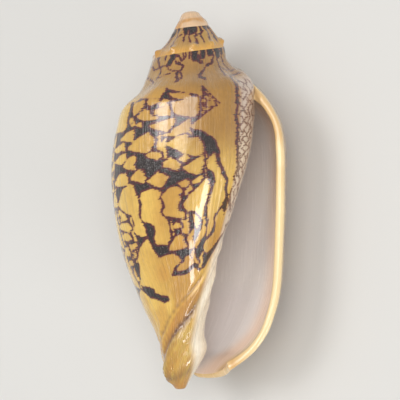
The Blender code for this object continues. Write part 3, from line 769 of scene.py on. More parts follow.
def draw_spire(clear, rng):
    """Bars that hang from the suture all along the ramp and up the spire; up the spire many
    have a thin wandering line below them, and some of those a slanting link."""
    turn_steps = np.linspace(0.0, SPIRE_TURNS, 141)
    grown = growth_distance(turn_steps)
    at, end = growth_distance([0.02, 2.62])
    index = 0
    while at < end:
        turns = np.interp(at, grown, turn_steps)
        size = float(ramp_scale(turns))
        bar = rng.uniform(1.0, 2.6) * (0.55 + 0.45 * size)
        if turns < 0.8:
            width = rng.uniform(0.4, 0.7)
        else:
            width = rng.uniform(1.0, 2.6) * (0.6 + 0.4 * size)
        points = [(at, -0.2), (at + rng.uniform(-0.3, 0.5), bar)]
        draw_stroke(clear, points, width, 200 + 5 * index, 0.2)
        if turns > 0.92 and rng.random() < (0.8 if turns > 1.2 else 0.4):
            foot = rng.uniform(7.5, 10.4) * size
            sway = rng.uniform(-1.4, 1.4) * size
            points = [(at, bar), (at + sway, 0.5 * (bar + foot)), (at - 0.5 * sway, foot)]
            draw_stroke(clear, points, 0.42, 201 + 5 * index, 0.7 * size)
            if rng.random() < 0.45:
                points = [(at, 0.6 * foot),
                          (at + rng.uniform(1.6, 3.4), rng.uniform(0.25, 0.6) * foot)]
                draw_stroke(clear, points, 0.36, 202 + 5 * index, 0.5 * size)
        at += rng.uniform(1.8, 4.0) * (0.5 + 0.5 * size)
        index += 1


def marking_fields(seed):
    """Two fields of the grown markings: the distance to their edge, and how newly each cell's
    clearing has opened, from 1 at the line where it opens down to 0."""
    clear = grow_markings(seed)
    edge = distance_to_edge(clear, EDGE_REACH)
    age = since_opening(clear, 2.0)
    return edge, np.clip(1.0 - (age - np.maximum(edge, 0.0)) / 0.6, 0.0, 1.0)


def read_field(field, x, y):
    """Value of a field at each x and y, straight between the raster's cells. The place is first
    pushed by smooth noise, so that no edge runs quite straight."""
    x2 = (x + 0.5 * (value_noise(31, y / 1.3, x / 3.0) - 0.5)
          + 0.25 * (value_noise(32, y / 0.5, x / 1.5) - 0.5))
    y2 = y + 0.35 * (value_noise(33, x / 1.6, y / 2.0) - 0.5)
    i = np.clip((MARK_X - x2) / CELL - 0.5, 0, field.shape[0] - 1.001)
    j = np.clip(y2 / CELL - 0.5, 0, field.shape[1] - 1.001)
    i0 = i.astype(int)
    j0 = j.astype(int)
    return between_cells(field, i0, j0, i0 + 1, j0 + 1, i - i0, j - j0)


def marking_strength(g, t):
    """How strongly the markings show: none on the base, thin under the columella's glaze."""
    groove = fasciole_place(g)
    under_glaze = np.interp(t, [0.0, 30.0, 42.0, 52.0, 60.0], [9.0, 1.05, 0.99, 0.955, 0.93])
    veiled = 1.0 - 0.30 * smooth((g - 0.915) / 0.02) * smooth((t - 9.0) / 2.0) * (g < 1.2)
    shown = (1.0 - smooth((g - under_glaze) / 0.035)) * veiled
    shown = shown * smooth((growth_distance(g) - 0.6) / 1.2)
    return shown * np.where(g > 0.4, smooth((groove - 3.0 - t) / 2.0), 1.0) * (g < 2.45)


# ------------------------------------------------------------------ colours laid down by place

def lay_tints(under, layers, shape):
    """Colour array that starts as the tint `under` and is carried towards each layer's tint by
    that layer's amount at each point, one layer after another."""
    tints = np.empty(shape + (3,))
    tints[:] = under[:]
    for amount, over in layers:
        tints = tints + (np.asarray(over)[:3] - tints) * amount[..., None]
    return tints


def body_layers(g, t, x, y, looks):
    """The body and spire: clouds of light and deep tan, with painted light as a paler band at the
    left edge of the last whorl's side that lies up, a dull tan by the aperture, duller and
    pinker up the ramp, orange between the spines above each suture, cream at the nucleus."""
    cloud = value_noise(51, x / 7.0, y / 9.0)
    # pale holds random pale patches and painted light: a paler band about 61 mm back from the lip, at the
    # left edge of the last whorl's side that lies up, seen with the apex at the top
    pale = np.maximum(smooth((cloud - 0.35) / 0.5) * 0.75,
                      bump(x, 61.0, 8.0) * smooth((1.0 - g) / 0.1))
    deep = (smooth((0.45 - value_noise(52, x / 5.0, y / 12.0)) / 0.45) * 0.6
            + 0.8 * bump(x, 73.5, 2.2) * bump(y, 43.0, 3.5))
    bare = smooth((x - 76.0) / 7.0) * smooth((41.0 - y) / 18.0) * smooth((1.6 - g) / 0.2)
    upper = smooth((13.5 - t) / 5.0) * smooth((g - 0.12) / 0.3)
    size = ramp_scale(g)
    neck = bump(y, 12.4 * size, 2.3 * size) * smooth((g - 1.02) / 0.2) * smooth((2.5 - g) / 0.2)
    patch = smooth((value_noise(59, x / 2.2, y / 1.5) - 0.25) / 0.3) * smooth((t - 4.0) / 4.0)
    net = smooth((g - 0.915) / 0.02) * smooth((t - 9.0) / 3.0) * smooth((1.6 - g) / 0.2)
    warm = smooth((value_noise(63, x / 3.4, y / 4.2) - 0.42) / 0.3) * smooth((y - 42.0) / 10.0)
    return [
        (pale, looks.ground_pale_and_lit),
        (np.minimum(deep, 1.0) * (1.0 - 0.8 * pale), looks.ground_deep_and_shade),
        (bare, looks.bare),
        (upper * (0.62 + 0.3 * value_noise(53, x / 6.0, y / 4.0)), looks.ramp),
        (0.65 * neck, looks.spine_orange),
        (smooth((g - 2.2) / 0.3), looks.nucleus),
        (0.85 * patch * smooth((g - 2.2) / 0.2) * smooth((3.2 - g) / 0.2), looks.spine_orange),
        (net * 0.85, looks.veil),
        (net * 0.5 * smooth((t - 20.0) / 12.0), looks.columella),
        (0.45 * warm, looks.spine_orange),
    ]


def base_layers(g, t, x, y, looks):
    """The base: streaky amber, the fasciole's yellow ridge with brown rings and orange blushes,
    the purple line in its groove, creases above it, painted shade along the suture of the
    upper spire where the whorls meet, and a darker line at the tip."""
    groove = fasciole_place(g)
    low = smooth((t - groove + 7.5) / 5.0) * smooth((g - 0.3) / 0.15)
    streak = value_noise(54, t * 0.9 + x * 0.15, x / 14.0)
    ridge = smooth((t - groove - 0.4) / 1.2) * smooth((g - 0.36) / 0.1)
    rings = smooth((value_noise(55, (t - groove) * 1.3, x / 9.0) - 0.42) / 0.25)
    blush = smooth((value_noise(57, (t - groove) * 0.8 + 5.0, x / 6.0) - 0.5) / 0.25)
    line = np.maximum(bump(t, groove, 1.2), 0.55 * bump(t, groove - 5.2, 0.45))
    line = line * smooth((g - 0.5) / 0.1) * smooth((0.9 - g) / 0.08)
    fold = low * (1.0 - ridge) * smooth((g - 0.55) / 0.1)
    crease = smooth((value_noise(58, (t - groove) * 0.9, x / 16.0) - 0.5) / 0.2)
    # suture: painted shade in the crease of the suture on the upper spire, where the whorls meet
    suture = bump(y, 0.0, 0.3) * smooth((g - 1.9) / 0.2) * smooth((2.5 - g) / 0.2)
    tip_line = bump(t, 77.3, 0.8) * smooth((g - 0.5) / 0.1) * smooth((0.98 - g) / 0.1)
    return [
        (low * (0.35 + 0.65 * streak), looks.base_amber),
        (ridge * 0.8, looks.fasciole),
        (ridge * rings * 0.6, looks.ground_deep_and_shade),
        (low * blush * (0.8 - 0.4 * ridge), looks.spine_orange),
        (line * (0.8 + 0.2 * value_noise(56, x / 1.2, t / 0.8)), looks.fasciole_line),
        (fold * crease * 0.85, looks.ground_deep_and_shade),
        # painted shade along the suture's crease
        (suture * 0.7, looks.ground_deep_and_shade),
        (tip_line * 0.4, looks.fasciole_line),
        (bump(t, T_END, 1.3) * smooth((g - 0.4) / 0.2) * 0.9, looks.spine_orange),
    ]


def glaze_layers(g, t, x, looks):
    """The pale glaze that lies over the columella from a winding edge inwards, the white of the
    hollow behind it, and the cream of the lip."""
    glaze_edge = np.interp(t, [30.0, 42.0, 50.0, 58.0, 66.0, 72.0, 76.0, 79.6],
                           [1.04, 0.985, 0.94, 0.885, 0.845, 0.85, 0.89, 0.97])
    return [
        (smooth((g - glaze_edge + 0.03) / 0.07) * smooth((t - 30.0) / 10.0), looks.columella),
        (smooth((g - 1.12) / 0.12) * smooth((t - 20.0) / 4.0), looks.porcelain),
        (smooth((1.6 - x) / 1.6) * 0.7, looks.lip_cream),
    ]


def outside_tints(g, t, x, y, looks):
    """Ground colour of the outside at each point: the body's layers, the base's over them, and
    the glaze over both."""
    layers = (body_layers(g, t, x, y, looks) + base_layers(g, t, x, y, looks)
              + glaze_layers(g, t, x, looks))
    return lay_tints(looks.ground, layers, g.shape)


def inside_tints(from_lip, part, looks):
    """Colour of the inner face by its distance from the lip's edge: cream at the rim, a peach
    band, then porcelain. Part runs from the joint at the suture to the foot of the lip."""
    from_lip, part = np.broadcast_arrays(from_lip, part)
    cloud = value_noise(61, from_lip / 12.0, part * 9.0)
    ends = 1.0 + 0.3 * smooth((0.20 - part) / 0.2) + 0.9 * smooth((part - 0.86) / 0.14)
    band = from_lip / ends
    foot = bump(part, 0.97, 0.035)
    flush = (smooth((value_noise(62, from_lip / 3.0, part * 14.0) - 0.35) / 0.4)
             * smooth((0.42 - part) / 0.3))
    return lay_tints(looks.porcelain, [
        (0.6 * cloud, looks.porcelain_shade),
        (0.9 * smooth((16.0 - band) / 7.0), looks.lip_peach),
        (smooth((8.0 - band) / 4.0), looks.lip_cream),
        (0.6 * foot * smooth((14.0 - from_lip) / 6.0), looks.spine_orange),
        (0.45 * flush * smooth((12.0 - from_lip) / 4.0), looks.spine_orange),
    ], from_lip.shape)


# ------------------------------------------------------------------ the mesh

def grid_faces(columns, rows, first, flip):
    """Quads of a grid whose point (i, j) has the index first + i * rows + j."""
    i, j = np.meshgrid(np.arange(columns - 1), np.arange(rows - 1), indexing='ij')
    a = first + i * rows + j
    quads = np.stack([a, a + 1, a + rows + 1, a + rows], axis=-1).reshape(-1, 4)
    return quads[:, ::-1] if flip else quads


def joined_steps(stops, counts):
    """Places from each stop to the next in that many equal steps, as one rising row."""
    spans = [np.linspace(low, high, count + 1)[:-1]
             for low, high, count in zip(stops, stops[1:], counts)]
    return np.concatenate(spans + [stops[-1:]])


def close_holes(work):
    """Fills the small holes left where parts of the wall meet, and gives each new corner what
    the wall carries at its point."""
    holes = [edge for edge in work.edges if edge.is_boundary]
    closed = bmesh.ops.holes_fill(work, edges=holes, sides=0)["faces"]
    filled = set(closed)
    for face in closed:
        for loop in face.loops:
            for donor in loop.vert.link_loops:
                if donor.face not in filled:
                    loop.copy_from(donor)
                    break


class Wall:
    """Grids of points that together make the wall, each with what its surface carries: `growth`
    (x, y and side), `marks` (edge, opening and strength), `tints` and a place on the bake map."""

    def __init__(self, looks):
        self.looks = looks
        self.edge, self.opening = marking_fields(looks.marking_seed)
        self.points = []
        self.growth = []
        self.marks = []
        self.tints = []
        self.flat = []
        self.faces = []
        self.count = 0

    def add(self, points, growth, marks, tints, window, flip=False):
        """Adds one grid in a window of the bake map, and returns its first point's index."""
        columns, rows = points.shape[:2]
        left, right, foot, top = WINDOWS[window]
        u, v = np.meshgrid(np.linspace(left, right, columns), np.linspace(top, foot, rows),
                           indexing='ij')
        self.points.append(points.reshape(-1, 3))
        for kept, values in ((self.growth, growth), (self.marks, marks)):
            spread = [np.broadcast_to(value, (columns, rows)) for value in values]
            kept.append(np.stack(spread, axis=-1).reshape(-1, 3))
        self.tints.append(tints.reshape(-1, 3))
        self.flat.append(np.stack([u, v], axis=-1).reshape(-1, 2))
        first = self.count
        self.faces.extend(grid_faces(columns, rows, first, flip).tolist())
        self.count += columns * rows
        return first

    def add_outside(self, points, g, t, window):
        """Adds a grid of the outside at every (g, t), with its markings and ground colour."""
        g, t = np.broadcast_arrays(np.asarray(g)[:, None], np.asarray(t)[None, :])
        x = growth_distance(g)
        y = t * ramp_scale(g)
        marks = (read_field(self.edge, x, y), read_field(self.opening, x, y),
                 marking_strength(g, t))
        tints = outside_tints(g, t, x, y, self.looks)
        self.add(points, (x, y, np.ones_like(x)), marks, tints, window)

    def mesh(self, name):
        """One mesh of all the grids, welded where they meet, closed, with faces outwards."""
        mesh = bpy.data.meshes.new(name)
        mesh.from_pydata(np.concatenate(self.points).tolist(), [], self.faces)
        corner = np.empty(len(mesh.loops), np.int32)
        mesh.loops.foreach_get("vertex_index", corner)
        opaque = np.ones((self.count, 1))
        tints = np.concatenate([np.concatenate(self.tints), opaque], axis=1)
        for label, kind, key, values in (
                ("growth", 'FLOAT_VECTOR', "vector", np.concatenate(self.growth)),
                ("marks", 'FLOAT_VECTOR', "vector", np.concatenate(self.marks)),
                ("tints", 'FLOAT_COLOR', "color", tints),
                ("OFBake", 'FLOAT2', "vector", np.concatenate(self.flat))):
            layer = mesh.attributes.new(label, kind, 'CORNER')
            layer.data.foreach_set(key, values[corner].astype(np.float32).ravel())
        work = bmesh.new()
        work.from_mesh(mesh)
        bmesh.ops.remove_doubles(work, verts=work.verts, dist=WELD)
        bmesh.ops.dissolve_degenerate(work, dist=SLIVER, edges=work.edges)
        close_holes(work)
        many_sided = [face for face in work.faces if len(face.verts) > 4]
        bmesh.ops.triangulate(work, faces=many_sided)
        bmesh.ops.recalc_face_normals(work, faces=work.faces)
        if any(not edge.is_manifold for edge in work.edges):
            raise RuntimeError("the shell's wall is not closed")
        work.to_mesh(mesh)
        work.free()
        mesh.shade_smooth()
        return mesh


def add_spire(wall, g_body, t_ramp, spines):
    """The ramp of the spire, whose last half turn narrows to nothing, and the nucleus: a dome
    whose rings shrink from the last turn's upper edge to the axis and rise by a quarter circle."""
    g = np.concatenate([1.0 + g_body] + [turns + g_body[1:] for turns in (2.0, 3.0)])
    g = g[g < SPIRE_TURNS + 1e-9]
    spire = outer_wall(g, t_ramp, *spines)
    narrow = smooth((g - SPIRE_TURNS + 0.5) / 0.5)[:, None, None]
    spire = spire + (spire[:, -1:] - spire) * narrow
    wall.add_outside(spire, g, t_ramp, "spire")

    last = g >= SPIRE_TURNS - 1.0 - 1e-9
    loop = spire[last, 0]
    s = np.linspace(0.0, 1.0, DOME_RINGS)[None, :, None]
    peak = np.array([-APEX_SHIFT, 0.0, SECTIONS[-1, 0, 1]])
    dome = loop[:, None] * (1.0 - s) + peak * s
    rise = np.sqrt(1.0 - (1.0 - s[..., 0]) ** 2)
    dome[..., 2] = loop[:, None, 2] + (peak[2] - loop[:, None, 2]) * rise
    wall.add_outside(dome, g[last], np.zeros(DOME_RINGS), "nucleus")


def add_lip_edge(wall, body, inner, ramp_end):
    """The lip's rounded edge, from the joint under the suture to the foot of the lip."""
    part = np.linspace(0.0, 1.0, inner.shape[1])
    step = np.linspace(0.0, 1.0, RIM_STEPS + 1)[None, :]
    lip = rim(body[0], inner[0], edge_way(smooth((part - 0.85) / 0.15) * 0.6),
              0.9 * smooth(part / 0.06))
    lip[0] = ramp_end
    part = part[:, None]
    wall.add(lip, (-1.5 + 1.5 * step, T_END * part, 0.0), NO_MARKS,
             inside_tints(0.0 * step, part, wall.looks), "lip", flip=True)
    return lip[-1]


def add_notch_edge(wall, body, inner, g, t_all, lip_foot, tip_end):
    """The rounded edge of the siphonal notch, from the foot of the lip to the tip. Its last fine
    row is sewn to the inner face's edge, which has one column to each NOTCH_RATIO."""
    part = np.linspace(0.0, 1.0, len(g))
    edge = rim(body[:len(g), -1], inner_wall(g, t_all)[:, -1],
               edge_way(0.6 + 0.4 * smooth(part / 0.3)),
               0.9 * (1.0 - smooth((part - 0.6) / 0.4)))
    edge[-1] = tip_end
    edge[0] = lip_foot
    tints = inside_tints(np.zeros((len(g), RIM_STEPS + 1)), np.ones((1, 1)), wall.looks)
    x = growth_distance(g)[:, None]
    first = wall.add(edge[:, :-1], (x, T_END, 0.0), NO_MARKS, tints[:, :-1], "notch")
    inner_columns = (len(g) - 1) // NOTCH_RATIO + 1
    held = wall.add(inner[:inner_columns, -1:], (x[::NOTCH_RATIO], T_END, 0.0), NO_MARKS,
                    tints[::NOTCH_RATIO, -1:], "notch_foot")
    half = NOTCH_RATIO // 2
    for k in range(inner_columns - 1):
        row = [first + (NOTCH_RATIO * k + i) * RIM_STEPS + RIM_STEPS - 1
               for i in range(NOTCH_RATIO + 1)]
        wall.faces.extend([row[i], row[i + 1], held + k] for i in range(half))
        wall.faces.append([row[half], held + k + 1, held + k])
        wall.faces.extend([row[i], row[i + 1], held + k + 1] for i in range(half, NOTCH_RATIO))


def add_tip(wall, g, ring):
    """The end of the columella, closed by a low cap that bulges by a quarter circle."""
    s = np.linspace(0.0, 1.0, CAP_RINGS)[None, :, None]
    cap = ring[:, None] * (1.0 - s) + ring.mean(axis=0) * s
    cap[..., 2] -= 0.5 * np.sqrt(1.0 - (1.0 - s[..., 0]) ** 2)
    wall.add_outside(cap, np.minimum(g, 1.0), np.full(CAP_RINGS, T_END), "tip")


def build_wall(settings):
    """The whole wall as one mesh in the shell's own frame, in millimetres."""
    spines = (settings.spine_height / MM, settings.spines)
    notch = COLUMNS["notch"]
    notch_inside = notch // NOTCH_RATIO
    ramp = ROWS["ramp"]
    under = ramp + ROWS["joint"]
    tip_rows = ROWS["marked"] + ROWS["plain"] + 1
    g_body = joined_steps([0.0, NOTCH_TURNS, 0.5, 1.0], COLUMNS.values())
    g_in = joined_steps([0.0, NOTCH_TURNS, CAVITY_TURNS], [notch_inside, COLUMNS_HOLLOW])
    t_all = joined_steps([0.0, T_SUTURE, T_UNDER_LIP, T_MARKED, T_TIP_JOINT, T_END],
                         ROWS.values())
    wall = Wall(settings)

    # Outside: the body whorl, then the spire
    body = outer_wall(g_body, t_all, *spines)
    wall.add_outside(body, g_body, t_all, "body")
    add_spire(wall, g_body, t_all[:ramp + 1], spines)

    # Inner walls: the outside of the turn within, then the inside of the body whorl
    g_deep = 1.0 + g_in
    t_deep = t_all[under:]
    deep = outer_wall(g_deep, t_deep, *spines)
    near = slice(None, notch_inside + 1)
    wall.add_outside(deep[near], g_deep[near], t_deep, "columella")
    wall.add_outside(deep[notch_inside:, :tip_rows], g_deep[notch_inside:], t_deep[:tip_rows],
                     "hollow")
    inner = inner_wall(g_in, t_all)
    part = np.linspace(0.0, 1.0, len(t_all))[None, :]
    from_lip = growth_distance(g_in)[:, None]
    wall.add(inner, (from_lip, T_END * part, 0.0), NO_MARKS,
             inside_tints(from_lip, part, settings), "inside", flip=True)

    # The edges that join them, and the end of the columella
    lip_foot = add_lip_edge(wall, body, inner, body[-1, ramp:under + 1])
    tip_end = deep[notch_inside, tip_rows - 1:][::-1]
    add_notch_edge(wall, body, inner, g_body[:notch + 1], t_all, lip_foot, tip_end)
    add_tip(wall, np.concatenate([g_body[notch:], g_deep[1:notch_inside + 1]]),
            np.concatenate([body[notch:, -1], deep[1:notch_inside + 1, -1]]))
    return wall.mesh("shell_wall")


# ------------------------------------------------------------------ the material

class Nodes:
    """Short ways to add nodes to one material's tree and join them up."""

    def __init__(self, tree):
        self.tree = tree

    def add(self, kind, inputs, **settings):
        """A node of this kind; inputs are numbers, colours or the sockets that feed them."""
        node = self.tree.nodes.new(kind)
        for name, value in settings.items():
            setattr(node, name, value)
        self.feed(node, inputs)
        return node

    def feed(self, node, inputs):
        """Sets each input of a node to a number or colour, or links it to a socket."""
        for key, value in inputs.items():
            if isinstance(value, bpy.types.NodeSocket):
                self.tree.links.new(value, node.inputs[key])
            else:
                node.inputs[key].default_value = value

    def attribute(self, name):
        """Node that reads one of the mesh's attributes."""
        return self.add("ShaderNodeAttribute", {}, attribute_name=name)

    def maths(self, operation, a, b):
        """Result of one sum on two values."""
        return self.add("ShaderNodeMath", {0: a, 1: b}, operation=operation).outputs[0]

    def noise(self, vector, scale, detail, shift=(0.0, 0.0, 0.0)):
        """Noise read at the vector times a scale for each axis, plus a shift."""
        at = self.add("ShaderNodeVectorMath", {0: vector, 1: scale, 2: shift},
                      operation='MULTIPLY_ADD').outputs[0]
        return self.add("ShaderNodeTexNoise", {"Vector": at, "Scale": 1.0,
                                               "Detail": detail}).outputs["Fac"]

    def step(self, value, low, high, to_low=0.0, to_high=1.0):
        """Smooth step from one number to another as the value runs from low to high."""
        return self.add("ShaderNodeMapRange", {0: value, 1: low, 2: high, 3: to_low, 4: to_high},
                        interpolation_type='SMOOTHSTEP').outputs[0]

    def blend(self, amount, under, over, kind='MIX'):
        """Colour between two colours by an amount from 0 to 1."""
        return self.add("ShaderNodeMix", {0: amount, 6: under, 7: over}, data_type='RGBA',
                        blend_type=kind).outputs[2]


def solid(colour):
    """Colour with full opacity from a property's three numbers."""
    return (*colour, 1.0)


def streaked(nodes, growth, side, ground):
    """The ground colour with streaks that run with the lip, as noise that is fast along x and
    slow along y, and a mottling. Also the mottling, and how much of both shows on this side."""
    fine = nodes.noise(growth, (3.4, 0.10, 1.0), 3.0)
    broad = nodes.noise(growth, (0.55, 0.05, 1.0), 2.0, (7.0, 3.0, 0.0))
    mottle = nodes.noise(growth, (0.9, 0.7, 1.0), 4.0, (2.0, 9.0, 0.0))
    shade = nodes.maths('ADD', nodes.step(fine, 0.3, 0.7, 0.975, 1.02),
                        nodes.step(broad, 0.3, 0.7, -0.06, 0.04))
    shade = nodes.maths('ADD', shade, nodes.step(mottle, 0.3, 0.7, -0.05, 0.05))
    calm = nodes.maths('ADD', nodes.maths('MULTIPLY', side, 0.85), 0.15)
    shade = nodes.maths('MULTIPLY', nodes.maths('SUBTRACT', shade, 1.0), calm)
    shade = nodes.maths('ADD', shade, 1.0)
    grey = nodes.add("ShaderNodeCombineColor", {0: shade, 1: shade, 2: shade}).outputs[0]
    return nodes.blend(1.0, ground, grey, 'MULTIPLY'), mottle, calm


def inked(nodes, growth, marks, ground, looks):
    """The ground with the ink over it where the distance to the markings' edge falls below
    nothing. The edge has teeth where a clearing has just opened, and a finer fray all along; ink
    far from it is darker and specked, and a brown halo lies just outside it."""
    teeth = nodes.noise(growth, (0.35, 2.6, 1.0), 1.0, (0.0, 4.0, 0.0))
    teeth = nodes.maths('MULTIPLY', nodes.step(teeth, 0.45, 0.75), marks["Y"])
    fray = nodes.noise(growth, (2.2, 3.2, 1.0), 3.0)
    edge = nodes.maths('SUBTRACT', marks["X"], nodes.maths('MULTIPLY', teeth, 0.5))
    edge = nodes.maths('ADD', edge, nodes.step(fray, 0.3, 0.7, -0.05, 0.08))
    shown = nodes.maths('MULTIPLY', nodes.step(edge, 0.05, -0.06), marks["Z"])
    depth = nodes.step(edge, -0.20, -0.52)
    ink = nodes.blend(depth, solid(looks.ink_thin), solid(looks.ink_thick))
    speck = nodes.noise(growth, (3.4, 5.0, 1.0), 2.0, (5.0, 1.0, 0.0))
    speck = nodes.maths('MULTIPLY', nodes.step(speck, 0.61, 0.68, 0.0, 0.85), depth)
    ink = nodes.blend(speck, ink, solid(looks.ink_speck))
    halo = nodes.maths('MULTIPLY', nodes.step(edge, 0.40, 0.02, 0.0, 0.34), marks["Z"])
    return nodes.blend(shown, nodes.blend(halo, ground, solid(looks.halo)), ink)


def glaze_material(looks):
    """Glossy shell: the ground tints with fine streaks of growth, the ink over them, and a clear
    coat. Lines of growth and mottling roughen the gloss a little."""
    material = bpy.data.materials.new("shell_glaze")
    material.use_nodes = True
    nodes = Nodes(material.node_tree)
    growth = nodes.attribute("growth").outputs["Vector"]
    side = nodes.add("ShaderNodeSeparateXYZ", {0: growth}).outputs["Z"]
    marks = nodes.attribute("marks").outputs["Vector"]
    marks = nodes.add("ShaderNodeSeparateXYZ", {0: marks}).outputs
    ground = nodes.attribute("tints").outputs["Color"]
    ground, mottle, calm = streaked(nodes, growth, side, ground)
    colour = inked(nodes, growth, marks, ground, looks)
    lines = nodes.noise(growth, (1.3, 0.07, 1.0), 3.0, (3.0, 0.0, 0.0))
    rough = nodes.maths('ADD', nodes.step(lines, 0.3, 0.7, -0.03, 0.05), looks.roughness)
    height = nodes.maths('ADD', nodes.maths('MULTIPLY', lines, 1.1),
                         nodes.maths('MULTIPLY', mottle, 0.5))
    height = nodes.maths('MULTIPLY', height, calm)
    uneven = nodes.add("ShaderNodeBump", {"Strength": 0.8, "Distance": 0.00045,
                                          "Height": height}).outputs[0]
    nodes.feed(material.node_tree.nodes["Principled BSDF"], {
        "Base Color": colour, "Roughness": rough, "Normal": uneven, "IOR": 1.52,
        "Coat Weight": looks.coat, "Coat Roughness": 0.06})
    return material


def plain_material(name, colour, roughness):
    """Even, matt material."""
    material = bpy.data.materials.new(name)
    material.use_nodes = True
    Nodes(material.node_tree).feed(material.node_tree.nodes["Principled BSDF"],
                                   {"Base Color": solid(colour), "Roughness": roughness})
    return material


# ------------------------------------------------------------------ the piece

def resting_turn():
    """Turn that carries the shell's own frame to its resting pose, and millimetres to metres."""
    return (Matrix.Rotation(REST_PITCH, 4, 'X') @ Matrix.Rotation(REST_ROLL, 4, 'Y')
            @ Matrix.Rotation(math.radians(-90.0), 4, 'X') @ Matrix.Scale(MM, 4))


def build_shell(settings):
    """The shell's one piece, laid on the floor where the frame's shell lies."""
    mesh = build_wall(settings)
    mesh.transform(resting_turn())
    places = np.empty(len(mesh.vertices) * 3)
    mesh.vertices.foreach_get("co", places)
    places = places.reshape(-1, 3)
    low, high = places.min(axis=0), places.max(axis=0)
    frame_low, frame_high = (np.array(corner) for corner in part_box("shell"))
    shift = 0.5 * (frame_low + frame_high - low - high)
    shift[2] = frame_low[2] - low[2]
    mesh.transform(Matrix.Translation(Vector(shift)))
    mesh.materials.append(glaze_material(settings))
    shell = bpy.data.objects.new("volute_shell", mesh)
    bpy.context.scene.collection.objects.link(shell)
    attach(shell, "root")
    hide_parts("shell")


# ------------------------------------------------------------------ the studio

def build_floor(settings):
    """Round floor, level with the shell's lowest point."""
    turn = np.linspace(0.0, 2.0 * math.pi, 97)[:-1]
    ring = np.stack([np.cos(turn), np.sin(turn), 0.0 * turn], axis=1) * settings.floor_radius
    mesh = bpy.data.meshes.new("floor")
    mesh.from_pydata(ring.tolist(), [], [list(range(len(ring)))])
    mesh.materials.append(plain_material("floor_paper", settings.floor_colour, 0.9))
    floor = bpy.data.objects.new("floor", mesh)
    bpy.context.scene.collection.objects.link(floor)


def view_axes():
    """Directions of the shell's own sideways, upward and outward axes as it lies: the camera
    faces the aperture along the outward one, with the apex up."""
    turn = resting_turn().to_3x3() * (1.0 / MM)
    return [(turn @ Vector(axis)).normalized() for axis in ((1, 0, 0), (0, 0, 1), (0, -1, 0))]


def aim(thing, place, target, up):
    """Puts a camera or lamp at a place, looking at the target with `up` upwards."""
    back = (place - target).normalized()
    side = up.cross(back).normalized()
    turn = Matrix((side, back.cross(side), back)).transposed()
    thing.matrix_world = Matrix.Translation(place) @ turn.to_4x4()


def add_lamp(name, kind, energy, target, way, distance, up, **make):
    """Lamp that shines on the target from a distance in the direction `way`. `make` holds what
    its kind needs: an area lamp's shape, sizes and beam, or the angle that a sun is seen under."""
    light = bpy.data.lights.new(name, kind)
    light.energy = energy
    for key, value in make.items():
        setattr(light, key, value)
    lamp = bpy.data.objects.new(name, light)
    bpy.context.scene.collection.objects.link(lamp)
    aim(lamp, target + way.normalized() * distance, target, up)


def build_world(settings):
    """Pale surroundings: one colour lights the scene, and another, that of the lit floor, is
    what the camera and mirrored or clear surfaces see beyond the floor's edge."""
    world = bpy.data.worlds.new("studio")
    world.use_nodes = True
    tree = world.node_tree
    tree.nodes.clear()
    nodes = Nodes(tree)
    path = nodes.add("ShaderNodeLightPath", {}).outputs
    seen = nodes.maths('MAXIMUM', path["Is Camera Ray"], path["Is Glossy Ray"])
    seen = nodes.maths('MAXIMUM', seen, path["Is Transmission Ray"])
    ambient = nodes.add("ShaderNodeBackground", {"Color": (1.0, 0.985, 0.96, 1.0),
                                                 "Strength": settings.ambient})
    beyond = nodes.add("ShaderNodeBackground", {"Color": solid(settings.backdrop),
                                                "Strength": 1.0})
    both = nodes.add("ShaderNodeMixShader", {0: seen, 1: ambient.outputs[0], 2: beyond.outputs[0]})
    nodes.add("ShaderNodeOutputWorld", {0: both.outputs[0]})
    bpy.context.scene.world = world


def build_studio(settings):
    """Floor, surroundings, two near lamps, a far one beside the camera, and the camera."""
    build_floor(settings)
    build_world(settings)
    low, high = (Vector(corner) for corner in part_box("shell"))
    middle = 0.5 * (low + high)
    side, up, out = view_axes()
    near = {"shape": 'RECTANGLE', "spread": LAMP_SPREAD}
    add_lamp("key", 'AREA', settings.key_power, middle,
             out * 0.60 + side * 0.66 - up * 0.60, 0.6, up, size=0.11, size_y=0.28, **near)
    add_lamp("fill", 'AREA', settings.fill_power, middle,
             out * 0.74 - side * 0.66 + up * 0.22, 0.7, up, size=0.30, size_y=0.30, **near)
    add_lamp("front", 'SUN', settings.front_strength, middle,
             out * 0.97 - side * 0.10 + up * 0.16, 1.0, up, angle=math.radians(36.0))
    lens = bpy.data.cameras.new("camera")
    lens.lens = settings.lens
    lens.sensor_width = SENSOR
    lens.clip_start = 0.01
    lens.clip_end = 20.0
    camera = bpy.data.objects.new("camera", lens)
    bpy.context.scene.collection.objects.link(camera)
    target = middle + side * AIM_SIDE
    aim(camera, target + out * (settings.view_width * settings.lens / SENSOR), target, up)
    bpy.context.scene.camera = camera
    bpy.context.scene.view_settings.view_transform = 'Standard'


# ------------------------------------------------------------------ the add-on

def paint(name, description, red, green, blue):
    """Colour property whose default is given as a display colour from 0 to 255."""
    return FloatVectorProperty(name=name, description=description, subtype='COLOR', size=3,
                               min=0.0, max=1.0, default=tint(red, green, blue))


